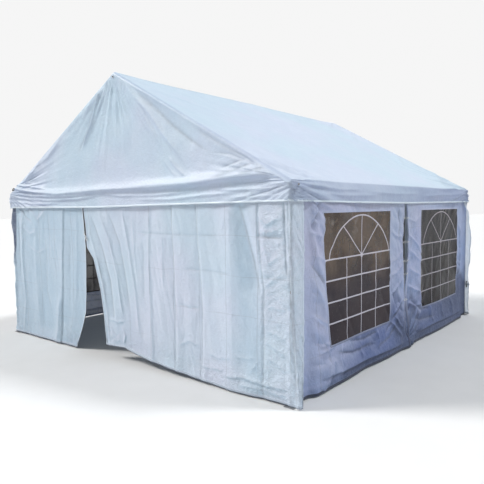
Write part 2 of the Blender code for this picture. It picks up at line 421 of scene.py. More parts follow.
def fold(p, q, route, height, left, right, fade=0.25, power=1.4):
    """A fold along a route of (p, q) points. It falls away over left and right of its direction
    and over the fade, a share of its length, towards its ends. A power of 1 makes it sharp."""
    corners = np.array(route, dtype=float)
    runs = np.diff(corners, axis=0)
    lengths = np.hypot(runs[:, 0], runs[:, 1])
    starts = np.concatenate([[0.0], np.cumsum(lengths)])
    nearest = np.full(p.shape, np.inf)
    signed = np.zeros(p.shape)
    along = np.zeros(p.shape)
    for number, (run, length) in enumerate(zip(runs, lengths)):
        off_p = p - corners[number, 0]
        off_q = q - corners[number, 1]
        share = np.clip((off_p * run[0] + off_q * run[1]) / length**2, 0.0, 1.0)
        gap = np.hypot(off_p - share * run[0], off_q - share * run[1])
        side = np.sign(off_p * run[1] - off_q * run[0])
        closer = gap < nearest
        nearest = np.where(closer, gap, nearest)
        signed = np.where(closer, gap * side, signed)
        along = np.where(closer, starts[number] + share * length, along)
    width = np.where(signed > 0, right, left)
    shape = np.exp(-((nearest / width) ** power))
    share = along / starts[-1]
    return height * shape * step(share / fade) * step((1 - share) / fade)


def crease_lines(p, q, folds, width=0.011):
    """Where valleys run, from 0 to 1: shade is painted along them."""
    deepest = np.zeros(np.broadcast(p, q).shape)
    for route, height, left, right, *rest in folds:
        if height < 0:
            line = fold(p, q, route, min(1.0, -height / 0.011), width, width, rest[0], 1.3)
            deepest = np.maximum(deepest, line)
    return deepest


def leaning(shift, p, q, *more):
    """How much a sheet leans out over q, from -1 to 1, where shift(p, q, *more) gives its form. The marks
    paint shade on the parts that lean towards the ground."""
    reach = 0.004
    steepest = 0.30
    rise = shift(p, q + reach, *more) - shift(p, q - reach, *more)
    return np.clip(rise / (2 * reach * steepest), -1.0, 1.0)


def streaks(p, q, centre, toward, seed, reach, height, grain=0.06):
    """Fine folds that fan out from a point where a sheet is drawn tight, in the direction toward."""
    off_p = p - centre[0]
    off_q = q - centre[1]
    length = math.hypot(*toward)
    ahead = (off_p * toward[0] + off_q * toward[1]) / length
    aside = (off_q * toward[0] - off_p * toward[1]) / length
    away = np.hypot(off_p, off_q)
    wave = noise(seed, np.arctan2(aside, ahead), away, grain, reach * 0.7)
    return height * wave * np.exp(-((away / reach) ** 2)) * step(away / 0.10) * sheets().creasing


def fans(p, q, seed, rows):
    """Several fans of streaks, each given as (centre, toward, reach, height, grain)."""
    return sum(streaks(p, q, centre, toward, seed + number, *rest)
               for number, (centre, toward, *rest) in enumerate(rows))


def follow(value, points):
    """The second numbers of (first, second) points, read in between at a value."""
    first, second = zip(*points)
    return np.interp(value, first, second)


# Meshes


def grid_lines(*stops):
    """Positions along a direction: stops are (place, spacing) pairs and then the last place."""
    places = [stops[0][0]]
    for (start, spacing), following in zip(stops[:-1], stops[1:]):
        end = following[0] if isinstance(following, tuple) else following
        count = max(1, round(abs(end - start) / spacing))
        places.extend(np.linspace(start, end, count + 1)[1:])
    return np.array(places)


def make_object(name, mesh, material):
    """An object in the scene with a mesh of its own name."""
    mesh.name = name
    mesh.materials.append(material)
    made = bpy.data.objects.new(name, mesh)
    bpy.context.scene.collection.objects.link(made)
    return made


def finish_mesh(mesh, flat=None, marks=None):
    """Smooth shading, the faces' corners on the flat sheet and numbers stored on the points."""
    mesh.polygons.foreach_set("use_smooth", np.ones(len(mesh.polygons), dtype=bool))
    if flat is not None:
        layer = mesh.uv_layers.new(name="flat")
        layer.data.foreach_set("uv", flat.astype(np.float32).ravel())
    for key, values in (marks or {}).items():
        layer = mesh.attributes.new(key, "FLOAT", "POINT")
        layer.data.foreach_set("value", np.asarray(values, dtype=np.float32).ravel())
    mesh.update()


def grid_cells(points):
    """The four corners of every cell of a grid of points, as numbers of its points."""
    rows, columns = points.shape[:2]
    index = np.arange(rows * columns).reshape(rows, columns)
    corners = [index[:-1, :-1], index[:-1, 1:], index[1:, 1:], index[1:, :-1]]
    return np.stack(corners, axis=-1).reshape(-1, 4)


def sheet_mesh(points, flat, keep=None, marks=None):
    """A mesh of one layer over a grid of points, which leaves out the cells that keep doesn't."""
    cells = grid_cells(points)
    if keep is not None:
        cells = cells[keep.ravel()]
    flat = flat.reshape(-1, 2)[cells.ravel()]
    used, cells = np.unique(cells, return_inverse=True)
    mesh = bpy.data.meshes.new("sheet")
    mesh.from_pydata(points.reshape(-1, 3)[used], [], cells.reshape(-1, 4))
    marks = {key: np.broadcast_to(values, points.shape[:2]).ravel()[used]
             for key, values in (marks or {}).items()}
    finish_mesh(mesh, flat, marks)
    return mesh


def tube_mesh(routes, radius, sides=8):
    """Round cords along routes of points, closed into rings where a route ends where it began."""
    verts = []
    faces = []
    for route in routes:
        route = [Vector(point) for point in route]
        closed = (route[0] - route[-1]).length < 1e-6
        if closed:
            route = route[:-1]
        count = len(route)
        base = len(verts)
        across = None
        for k, point in enumerate(route):
            before = route[k - 1] if k or closed else point
            after = route[(k + 1) % count] if k + 1 < count or closed else point
            along = (after - before).normalized()
            if across is None:
                across = along.orthogonal().normalized()
            across = (across - along * across.dot(along)).normalized()
            other = along.cross(across)
            for turn in range(sides):
                angle = math.tau * turn / sides
                verts.append(point + (across * math.cos(angle) + other * math.sin(angle)) * radius)
        for k in range(count if closed else count - 1):
            here = base + k * sides
            there = base + (k + 1) % count * sides
            for turn in range(sides):
                following = (turn + 1) % sides
                faces.append((here + turn, here + following, there + following, there + turn))
        if not closed:
            faces.append(tuple(base + turn for turn in reversed(range(sides))))
            faces.append(tuple(base + (count - 1) * sides + turn for turn in range(sides)))
    mesh = bpy.data.meshes.new("tube")
    mesh.from_pydata(verts, [], faces)
    finish_mesh(mesh)
    return mesh


# Materials


def sheet_material(name, colour, crumple=1.0, packed=1.0, shade=None, painted_glow=0.0):
    """White coated sheet: woven backing under the coat, packing folds, fine creases, dampness and painted
    shade. shade is the colour where the sheet's shade mark is 1: painted shade, and painted light on the rear
    wall's strips. A little light comes through it, and painted_glow paints more glow where the shade mark is."""
    shader = Shader(name)
    flat = shader.flat()
    place = shader.place()
    across = shader.split(flat, 0)
    up = shader.split(flat, 1)
    damp_and_painted_shade = shader.mark("damp_and_painted_shade")
    loose = shader.mark("loose")

    clouds = shader.noise(place, 0.8, 2.0)
    blotches = shader.noise(place, 5.0, 4.0, 0.6)
    cool = (colour[0] * 0.95, colour[1] * 1.01, colour[2] * 1.01)
    lilac = (colour[0] * 1.05, colour[1] * 0.99, colour[2] * 1.02)
    tone = shader.mix(shader.rise(clouds, 0.35, 0.65), rgba(cool), rgba(lilac))
    # The shade mark paints shade, and on the rear wall's strips it paints light.
    if shade is not None:
        tone = shader.mix(shader.mark("shade"), tone, rgba(shade))
    tone = shader.mix(shader.rise(blotches, 0.35, 0.75) * 0.10, tone, rgba((0.95, 0.96, 1.0)))
    # Damp near the ground together with painted shade: the damp colour is painted darker still where the
    # shade mark is.
    stain = shader.rise(damp_and_painted_shade + (blotches - 0.5) * 0.35, 0.08, 0.95)
    darkening = sheets().damp_and_shade_colour
    damp_and_shade_tone = shader.mix(shader.mark("shade"), rgba(darkening), rgba(darkening, 0.34))
    tone = shader.mix(stain * 0.92, tone, damp_and_shade_tone)
    # Painted shade along the crease mark: the valleys of the listed folds and the creases at the roof's rear
    # corners.
    tone = shader.mix(shader.mark("crease") * 0.55, tone, rgba(colour, 0.45))
    specks = shader.rise(shader.noise(place, 60.0, 2.0), 0.70, 0.80)
    tone = shader.mix(specks * (damp_and_painted_shade * 0.6 + 0.03), tone, rgba((0.16, 0.15, 0.14)))

    def packing(value):
        """1 on the lines where the sheet was folded for packing."""
        wander = (shader.noise(place, 2.0, 1.0) - 0.5) * 0.05
        cycle = shader.math("PINGPONG", value + wander, PACKING_FOLD / 2)
        return 1 - shader.rise(cycle, 0.0, 0.0065)

    patches = shader.noise(place, 1.7, 1.0)
    level = packing(up) * shader.rise(patches, 0.40, 0.60) * 0.6
    upright = packing(across - 0.17) * shader.rise(patches, 0.30, 0.48)
    shown = shader.math("MAXIMUM", level, upright) * packed
    # Painted shade along the packing folds.
    tone = shader.mix(shown * 0.50, tone, rgba(colour, 0.50))
    grain = shader.noise(place, 26.0, 3.0, 0.65)
    tone = shader.mix(shader.rise(grain, 0.3, 0.7) * 0.12, tone, rgba(colour, 1.28))

    long_grain = shader.stretch(place, (1.0, 1.0, 0.40))
    large = abs(shader.noise(long_grain, 5.0, 2.0) - 0.5)
    small = abs(shader.noise(place, 17.0, 3.0, 0.6) - 0.5)
    fine = abs(shader.noise(place, 48.0, 2.0, 0.6) - 0.5)
    thread = math.tau / 0.0035
    weave = shader.math("SINE", across * thread) * shader.math("SINE", up * thread)
    height = (large * 0.020 + small * 0.019 * (loose + 0.2) + fine * 0.0085 * (loose + 0.2)) * crumple
    height = height - shown * 0.0016 + weave * 0.00006
    # Painted shade and dirt in the valleys of the fine crinkles.
    valleys = (1 - shader.rise(small, 0.0, 0.06)) * (loose * 0.16 + 0.02) * crumple
    tone = shader.mix(valleys, tone, rgba(colour, 0.62))
    gloss = shader.rise(clouds + (blotches - 0.5) * 0.5, 0.3, 0.8) * 0.12 + damp_and_painted_shade * 0.15 + 0.41
    shader.set(Base_Color=tone, Roughness=gloss, Normal=shader.bump(height))
    shader.set(Coat_Weight=0.06, Coat_Roughness=0.35)
    through = shader.node("ShaderNodeBsdfTranslucent", {"Color": (0.80, 0.86, 0.92, 1.0)})
    # A constant share of real translucency, plus painted glow where the shade mark is: the rear wall's
    # strips.
    glow = shader.mark("shade") * painted_glow + 0.06 if painted_glow else 0.06
    coat = Value(shader, shader.surface.outputs[0])
    both = shader.node("ShaderNodeMixShader", {0: glow, 1: coat, 2: through})
    shader.feed(shader.tree.nodes["Material Output"].inputs["Surface"], both)
    return shader.owner


def film_material():
    """Smoky clear film: slightly rippled, glossy, scuffed and brownish, with painted shade below and on the
    rear windows, and pale painted reflections near the top.
    """
    shader = Shader("window_film")
    place = shader.place()
    colour = sheets().film_colour
    clouds = shader.noise(place, 2.6, 3.0)
    long_marks = shader.noise(shader.stretch(place, (1.0, 1.0, 0.35)), 7.0, 3.0)
    mottle = shader.noise(place, 16.0, 3.0, 0.6)
    scuffs = shader.rise(shader.noise(place, 38.0, 3.0, 0.7), 0.58, 0.78)
    tone = shader.mix(shader.rise(clouds, 0.3, 0.7), rgba(colour, 0.75), rgba(colour, 1.3))
    # Painted shade: the film is darker below, for the dim inside seen through it.
    low = 1 - shader.rise(shader.split(place, 2) + (clouds - 0.5) * 0.5, 0.85, 1.40)
    tone = shader.mix(shader.rise(mottle, 0.45, 0.8) * 0.22, tone, rgba((0.26, 0.21, 0.18)))
    tone = shader.mix(low * 0.75, tone, rgba((0.028, 0.026, 0.042)))
    tone = shader.mix(scuffs * 0.18, tone, rgba((0.36, 0.35, 0.36)))
    # Painted reflection: pale patches near the top of the film.
    patches = shader.rise(shader.noise(place, 8.0, 4.0, 0.6), 0.55, 0.70)
    pale = patches * shader.rise(shader.split(place, 2), 1.36, 1.62)
    tone = shader.mix(pale * 0.30, tone, rgba((0.40, 0.37, 0.33)))
    # Painted shade: the rear windows' film is darker.
    rear = shader.rise(shader.split(place, 1), -0.2, 0.5)
    tone = shader.mix(rear * 0.82, tone, rgba((0.020, 0.018, 0.018)))
    cover = shader.rise(long_marks, 0.3, 0.7) * 0.08 + scuffs * 0.1 + low * 0.14
    cover = cover + (sheets().film_cover - 0.05)
    height = clouds * 0.008 + long_marks * 0.0020 + mottle * 0.0006
    shader.set(Base_Color=tone, Alpha=cover, Roughness=scuffs * 0.2 + 0.12, Normal=shader.bump(height))
    shader.set(IOR=1.12)
    return shader.owner


def bar_material():
    """The white print of a window's bars, thin and slightly worn, with painted shade on the rear windows'
    bars.
    """
    shader = Shader("window_bars")
    place = shader.place()
    colour = tuple(sheets().bar_colour)
    worn = shader.rise(shader.noise(place, 26.0, 3.0, 0.6), 0.5, 0.8)
    tone = shader.mix(worn * 0.5, rgba(colour), rgba(colour, 0.78))
    # Painted shade on the rear windows' bars.
    tone = shader.mix(shader.rise(shader.split(place, 1), -0.2, 0.5) * 0.65, tone, rgba(colour, 0.38))
    shader.set(Base_Color=tone, Roughness=worn * 0.2 + 0.42)
    shader.set(Normal=shader.bump(shader.noise(place, 120.0, 2.0) * 0.0003))
    return shader.owner


def metal_material(name, colour, metallic, rough, chips):
    """Coated or plated steel with scuffs, dirt and a fine uneven finish."""
    shader = Shader(name)
    place = shader.place()
    scuffs = shader.rise(shader.noise(place, 30.0, 4.0, 0.65), 0.58, 0.72)
    dirt = shader.rise(shader.noise(shader.stretch(place, (1.0, 1.0, 0.2)), 9.0, 3.0), 0.45, 0.75)
    tone = shader.mix(dirt * 0.35, rgba(colour), rgba(colour, 0.62))
    tone = shader.mix(scuffs * chips, tone, rgba((0.30, 0.29, 0.28)))
    shader.set(Base_Color=tone, Metallic=scuffs * chips * 0.5 + metallic)
    shader.set(Roughness=dirt * 0.2 + scuffs * 0.1 + rough)
    shader.set(Normal=shader.bump(shader.noise(place, 220.0, 2.0) * 0.00012 + scuffs * 0.0001))
    return shader.owner


def plastic_material(name, colour, rough=0.45):
    """Small moulded or woven fittings: a plain colour, mottled and dusty."""
    shader = Shader(name)
    place = shader.place()
    mottle = shader.noise(place, 90.0, 3.0, 0.6)
    tone = shader.mix(shader.rise(mottle, 0.4, 0.8), rgba(colour), rgba(colour, 0.7))
    shader.set(Base_Color=tone, Roughness=mottle * 0.2 + (rough - 0.1))
    shader.set(Normal=shader.bump(shader.noise(place, 400.0, 2.0) * 0.0002))
    return shader.owner


def hem_material(name, colour, soil_and_shade=0.3, reach=0.35, rim_edge=-0.002, rim_top=0.20):
    """A sewn hem: the sheet's own coat, doubled, with two lines of stitches. Near the ground it is darkened
    with soil and painted shade, and below rim_top it has a dark painted shadow line on the lower side of
    rim_edge."""
    shader = Shader(name)
    flat = shader.flat()
    along = shader.split(flat, 0)
    across = shader.split(flat, 1)
    place = shader.place()
    clouds = shader.noise(place, 3.0, 3.0)
    tone = shader.mix(shader.rise(clouds, 0.3, 0.7), rgba(colour, 1.05), rgba(colour, 0.97))
    line = 1 - shader.rise(abs(abs(across) - 0.0085), 0.0004, 0.0011)
    stitch = line * shader.rise(shader.math("SINE", along * (math.tau / 0.0075)), -0.4, 0.2)
    tone = shader.mix(stitch * 0.5, tone, rgba(colour, 0.62))
    dust = shader.rise(shader.noise(place, 14.0, 4.0, 0.6), 0.5, 0.8)
    tone = shader.mix(dust * 0.15, tone, rgba(colour, 0.6))
    height = shader.split(place, 2)
    # Soil and painted shade near the ground.
    low = 1 - shader.rise(height + (clouds - 0.5) * 0.2, 0.0, reach)
    tone = shader.mix(low * soil_and_shade, tone, rgba(sheets().damp_and_shade_colour, 0.25))
    # A painted shadow line along the hem's lower side near the ground.
    rim = 1 - shader.rise(across + (clouds - 0.5) * 0.016, rim_edge - 0.010, rim_edge)
    rim = rim * (1 - shader.rise(height, rim_top, rim_top + 0.06))
    tone = shader.mix(rim * 0.85, tone, rgba((0.035, 0.045, 0.07)))
    pucker = shader.noise(place, 45.0, 2.0)
    shader.set(Base_Color=tone, Roughness=dust * 0.15 + 0.45)
    shader.set(Normal=shader.bump(pucker * 0.0022 - stitch * 0.0004))
    return shader.owner


def mirrored(folds):
    """The same folds on the far gable, where left and right change places."""
    return [([(-x, z) for x, z in route], height, right, left, *rest)
            for route, height, left, right, *rest in folds]


REAR_GABLE_FOLDS = mirrored(GABLE_FOLDS[:12])
REAR_LIP_FOLDS = mirrored(LIP_FOLDS)

# On the right slope of the roof, in (x, y) points, then on the side valances, in (y, z) points
ROOF_FOLDS = [
    ([(2.10, -2.50), (2.24, -2.38), (2.35, -2.24), (2.46, -2.02)], -0.014, 0.016, 0.030, 0.15),
    ([(2.00, -2.46), (2.20, -2.20), (2.42, -1.80)], 0.007, 0.050, 0.050, 0.30),
    ([(0.30, -2.46), (0.60, -1.90), (0.95, -1.30)], 0.005, 0.060, 0.060, 0.35),
    ([(0.35, 2.46), (0.70, 1.90), (1.10, 1.40)], 0.007, 0.050, 0.050, 0.35),
    ([(1.90, 2.46), (2.15, 2.10), (2.40, 1.60)], 0.008, 0.040, 0.050, 0.30),
    ([(1.20, 2.46), (1.50, 2.05), (1.75, 1.65)], 0.007, 0.040, 0.040, 0.30),
]
VALANCE_FOLDS = [
    ([(-2.46, 2.005), (-2.10, 2.015), (-1.70, 1.985), (-1.20, 1.99)], 0.012, 0.020, 0.022, 0.20),
    ([(-2.30, 1.945), (-1.60, 1.925), (-0.70, 1.935)], 0.009, 0.022, 0.026, 0.30),
    ([(-1.20, 1.975), (-0.40, 1.960), (0.50, 1.975)], 0.008, 0.022, 0.024, 0.30),
    ([(0.40, 1.935), (1.20, 1.960), (2.00, 1.975), (2.46, 2.010)], 0.012, 0.018, 0.022, 0.25),
    ([(1.40, 1.900), (1.90, 1.925), (2.42, 1.935)], 0.009, 0.018, 0.020, 0.30),
    ([(1.90, 2.000), (2.20, 1.985), (2.44, 1.970)], 0.010, 0.014, 0.016, 0.30),
]

# Fans of fine streaks as (centre, toward, reach, height, grain)
GABLE_FANS = [
    ((0.0, 3.42), (0.0, -1.0), 0.70, 0.009, 0.050),
    ((-2.62, 2.05), (1.0, 0.0), 1.1, 0.016, 0.030),
    ((2.62, 2.05), (-1.0, 0.0), 0.9, 0.009, 0.035),
]
ROOF_FANS = [
    ((2.60, 2.60), (-1.0, -1.0), 1.0, 0.016, 0.07),
    ((2.60, -2.60), (-1.0, 1.0), 0.8, 0.010, 0.08),
    ((-0.10, 2.60), (1.0, -1.0), 0.9, 0.010, 0.08),
]
VALANCE_FANS = [
    ((-2.62, 2.06), (1.0, 0.0), 1.0, 0.014, 0.035),
    ((2.62, 2.06), (-1.0, 0.0), 1.1, 0.018, 0.035),
]

# How far the hems rise, as (x, rise) at the front and (y, rise) at the sides
FRONT_HEM_RISE = [(-2.5, -0.022), (-0.44, -0.026), (0.6, -0.008), (1.5, 0.006), (2.5, 0.020)]
SIDE_HEM_RISE = [(-2.5, 0.020), (-1.2, 0.002), (0.0, -0.006), (1.4, 0.004), (2.5, 0.012)]

# On the front walls, in (x, z) points
RIGHT_PANEL_FOLDS = [
    ([(0.93, 1.90), (0.94, 1.40), (0.96, 1.05), (0.97, 0.66), (0.95, -0.20)],
     -0.009, 0.016, 0.130, 0.04, 1.0),
    ([(1.29, 1.90), (1.32, 1.40), (1.35, 1.10), (1.37, 0.73), (1.34, -0.20)],
     -0.008, 0.018, 0.100, 0.04, 1.0),
    ([(1.75, 1.95), (1.78, 1.42), (1.79, 0.99), (1.78, -0.20)], 0.018, 0.150, 0.160, 0.12),
    ([(1.84, 1.98), (1.96, 1.58), (2.05, 1.30), (2.14, 0.90)], -0.022, 0.070, 0.110, 0.25, 1.8),
    ([(2.11, 1.90), (2.12, 1.53), (2.14, 1.22), (2.17, 1.04), (2.17, 0.75), (2.15, -0.20)],
     -0.008, 0.020, 0.012, 0.05, 1.0),
    ([(2.41, 1.88), (2.42, 1.54), (2.44, 1.18)], -0.009, 0.012, 0.012, 0.08, 1.0),
    ([(2.455, 1.88), (2.46, 1.60), (2.468, 1.38)], -0.008, 0.012, 0.012, 0.10, 1.0),
    ([(2.46, 1.50), (2.475, 1.10), (2.510, 0.60), (2.560, -0.10)], -0.010, 0.010, 0.022, 0.22, 1.0),
    ([(2.49, 1.40), (2.51, 0.90), (2.545, 0.40), (2.58, -0.10)], 0.007, 0.014, 0.014, 0.25, 1.0),
    ([(2.08, 1.545), (2.25, 1.535), (2.42, 1.545)], -0.011, 0.016, 0.010, 0.15, 1.0),
    ([(2.12, 1.155), (2.28, 1.165), (2.44, 1.160)], -0.006, 0.012, 0.010, 0.20, 1.0),
    ([(2.10, 1.76), (2.22, 1.66), (2.38, 1.73)], 0.010, 0.026, 0.020, 0.30, 1.1),
    ([(2.12, 1.62), (2.22, 1.58), (2.38, 1.62)], 0.007, 0.018, 0.014, 0.30, 1.1),
    ([(2.16, 1.46), (2.24, 1.30), (2.40, 1.40)], 0.007, 0.020, 0.020, 0.30, 1.1),
    ([(2.19, 1.08), (2.30, 1.16), (2.42, 1.24)], 0.006, 0.014, 0.018, 0.30, 1.1),
    ([(2.19, 0.87), (2.27, 0.90), (2.44, 0.88)], 0.006, 0.012, 0.016, 0.25, 1.1),
    ([(2.18, 0.67), (2.32, 0.65), (2.44, 0.60)], 0.008, 0.010, 0.018, 0.25, 1.1),
    ([(2.18, 0.58), (2.30, 0.52), (2.44, 0.46)], 0.007, 0.010, 0.018, 0.25, 1.1),
    ([(2.20, 0.42), (2.32, 0.38), (2.46, 0.30)], 0.007, 0.012, 0.018, 0.25, 1.1),
    ([(1.78, 0.38), (1.91, 0.36), (2.10, 0.38)], 0.004, 0.018, 0.014, 0.30, 1.1),
    ([(2.12, 0.40), (2.06, 0.30), (1.98, 0.22)], 0.004, 0.012, 0.018, 0.35, 1.1),
    ([(1.62, 0.13), (1.90, 0.17), (2.19, 0.145), (2.50, 0.16)], 0.013, 0.040, 0.014, 0.20, 1.0),
    ([(1.80, 0.085), (2.10, 0.10), (2.35, 0.085), (2.48, 0.10)], 0.008, 0.016, 0.010, 0.25, 1.0),
    ([(1.24, 0.21), (1.41, 0.18), (1.71, 0.20)], 0.006, 0.018, 0.016, 0.25, 1.1),
    ([(1.08, 1.17), (1.45, 1.18), (1.81, 1.16)], -0.004, 0.010, 0.010, 0.15, 1.0),
    ([(0.30, 1.54), (1.01, 1.53), (1.70, 1.54)], -0.004, 0.010, 0.010, 0.15, 1.0),
    ([(1.00, 0.79), (1.18, 0.77), (1.35, 0.78)], -0.005, 0.012, 0.016, 0.25, 1.0),
    ([(0.99, 0.34), (1.18, 0.42), (1.33, 0.38)], 0.006, 0.016, 0.014, 0.30, 1.1),
    ([(1.42, 0.34), (1.60, 0.31), (1.80, 0.34)], 0.005, 0.016, 0.016, 0.25, 1.1),
    ([(0.57, 1.88), (0.55, 1.21), (0.57, 0.55), (0.59, -0.10)], 0.007, 0.020, 0.080, 0.10, 1.1),
    ([(0.45, 1.50), (0.45, 0.70)], -0.004, 0.030, 0.030, 0.20),
    ([(0.78, 1.60), (0.78, 1.22), (0.79, 0.86)], 0.004, 0.014, 0.014, 0.25, 1.1),
]
LEFT_PANEL_FOLDS = [
    ([(-1.13, 1.90), (-1.17, 1.30), (-1.22, 0.74), (-1.30, -0.10)], 0.009, 0.010, 0.120, 0.05, 1.0),
    ([(-1.115, 1.90), (-1.155, 1.30), (-1.205, 0.74), (-1.285, -0.10)], -0.003, 0.008, 0.006, 0.05, 1.0),
    ([(-2.38, 1.74), (-2.22, 1.56), (-2.00, 1.46), (-1.78, 1.52)], 0.008, 0.022, 0.030, 0.30, 1.1),
    ([(-2.30, 1.88), (-2.12, 1.70), (-1.92, 1.62)], -0.007, 0.022, 0.026, 0.30, 1.1),
    ([(-1.26, 0.70), (-1.32, 0.36), (-1.38, -0.10)], 0.014, 0.040, 0.060, 0.25),
    ([(-1.00, 1.60), (-1.03, 1.00), (-1.08, 0.40)], -0.004, 0.070, 0.060, 0.25),
    ([(-1.62, 1.50), (-1.60, 1.10), (-1.64, 0.70), (-1.49, 0.30)], -0.006, 0.080, 0.080, 0.30),
    ([(-1.52, 1.90), (-1.50, 1.40), (-1.55, 0.90)], -0.003, 0.010, 0.010, 0.25, 1.0),
    ([(-1.86, 1.70), (-1.88, 1.00), (-1.84, 0.20)], 0.006, 0.090, 0.070, 0.25),
    ([(-2.20, 1.84), (-2.24, 1.10), (-2.18, 0.50), (-2.28, -0.10)], 0.009, 0.030, 0.040, 0.12, 1.1),
    ([(-2.36, 1.86), (-2.33, 1.40), (-2.33, 0.70)], -0.007, 0.030, 0.030, 0.25, 1.1),
    ([(-2.05, 1.88), (-1.78, 1.66), (-1.50, 1.84)], 0.010, 0.030, 0.030, 0.30, 1.1),
    ([(-2.10, 1.30), (-1.80, 1.20), (-1.55, 1.30)], 0.005, 0.020, 0.020, 0.30, 1.1),
    ([(-0.84, 1.86), (-0.86, 1.20), (-0.92, 0.40)], 0.004, 0.012, 0.030, 0.25, 1.1),
    ([(-1.24, 0.30), (-1.10, 0.16), (-0.98, 0.05)], 0.012, 0.016, 0.016, 0.30, 1.1),
    ([(-1.10, 0.34), (-1.00, 0.22), (-0.90, 0.16)], 0.010, 0.014, 0.014, 0.30, 1.1),
]
DOOR_FOLDS = [
    ([(-0.60, 1.60), (-0.46, 1.30), (-0.30, 0.90), (-0.22, 0.50), (-0.20, 0.20)],
     0.008, 0.016, 0.030, 0.12, 1.0),
    ([(-0.56, 1.76), (-0.34, 1.36), (-0.18, 0.95), (-0.10, 0.40)], -0.010, 0.030, 0.050, 0.15, 1.1),
    ([(-0.40, 1.84), (-0.16, 1.44), (-0.02, 1.02), (0.08, 0.46)], 0.010, 0.018, 0.036, 0.15, 1.0),
    ([(-0.22, 1.84), (0.02, 1.40), (0.12, 1.00), (0.20, 0.55)], -0.007, 0.028, 0.040, 0.20, 1.1),
    ([(0.08, 1.86), (0.20, 1.36), (0.30, 0.88), (0.36, 0.30)], 0.008, 0.016, 0.036, 0.15, 1.0),
    ([(0.26, 1.80), (0.30, 1.30), (0.36, 0.80)], 0.004, 0.012, 0.016, 0.25, 1.0),
    ([(-0.10, 1.30), (0.06, 0.90), (0.14, 0.60)], 0.004, 0.012, 0.014, 0.25, 1.0),
    ([(-0.44, 1.28), (-0.30, 0.86), (-0.27, 0.50)], 0.004, 0.012, 0.014, 0.25, 1.0),
    ([(-0.24, 0.48), (-0.05, 0.46), (0.12, 0.49)], 0.006, 0.012, 0.010, 0.25, 1.0),
    ([(-0.22, 0.42), (-0.10, 0.30), (0.02, 0.20)], 0.007, 0.014, 0.016, 0.30, 1.1),
    ([(0.04, 0.44), (0.11, 0.32), (0.07, 0.20)], 0.009, 0.014, 0.018, 0.30, 1.1),
    ([(-0.16, 0.28), (-0.06, 0.22), (0.02, 0.26)], 0.005, 0.012, 0.012, 0.30, 1.1),
]
FRONT_FOLDS = RIGHT_PANEL_FOLDS + LEFT_PANEL_FOLDS + DOOR_FOLDS

# On the rear wall, in (x, z) points
REAR_FOLDS = [
    ([(-1.90, 1.84), (-1.84, 1.10), (-1.92, 0.20)], 0.018, 0.050, 0.040, 0.12),
    ([(-1.30, 1.84), (-1.35, 1.20), (-1.28, 0.20)], 0.014, 0.022, 0.044, 0.12),
    ([(-0.62, 1.84), (-0.58, 1.00), (-0.66, 0.15)], -0.018, 0.060, 0.060, 0.15),
    ([(0.55, 1.84), (0.60, 1.10), (0.54, 0.15)], 0.016, 0.040, 0.020, 0.12),
    ([(1.15, 1.84), (1.10, 1.10), (1.18, 0.20)], -0.016, 0.060, 0.050, 0.15),
    ([(1.70, 1.84), (1.76, 1.00), (1.68, 0.15)], 0.018, 0.024, 0.050, 0.12),
    ([(-2.30, 1.20), (-2.00, 0.90), (-1.70, 0.80)], 0.010, 0.040, 0.030, 0.30),
    ([(2.30, 1.30), (2.05, 1.00), (1.80, 0.90)], 0.010, 0.030, 0.040, 0.30),
    ([(-1.00, 0.34), (-0.40, 0.28), (0.30, 0.33)], 0.008, 0.022, 0.018, 0.30),
]

# How far the rear and front left corner strips bulge, as (height, bulge), and how far out the front left one
# is painted dark as shade, as (height, place along the cloth)
REAR_BULGE = [(0.0, 0.060), (0.48, 0.080), (0.70, 0.070), (0.95, 0.088), (1.26, 0.110), (1.42, 0.080),
              (1.60, 0.045), (1.84, 0.0)]
LEFT_BULGE = [(0.0, 0.035), (0.30, 0.010), (0.70, 0.020), (0.88, 0.050), (1.03, 0.090), (1.22, 0.068),
              (1.42, 0.075), (1.60, 0.098), (1.74, 0.085), (1.94, 0.0)]
LEFT_SLIVER_SHADE = [(0.80, 2.56), (0.92, 2.450), (1.03, 2.395), (1.10, 2.420), (1.17, 2.425), (1.30, 2.395),
             (1.42, 2.385), (1.55, 2.375), (1.70, 2.365), (1.90, 2.380)]

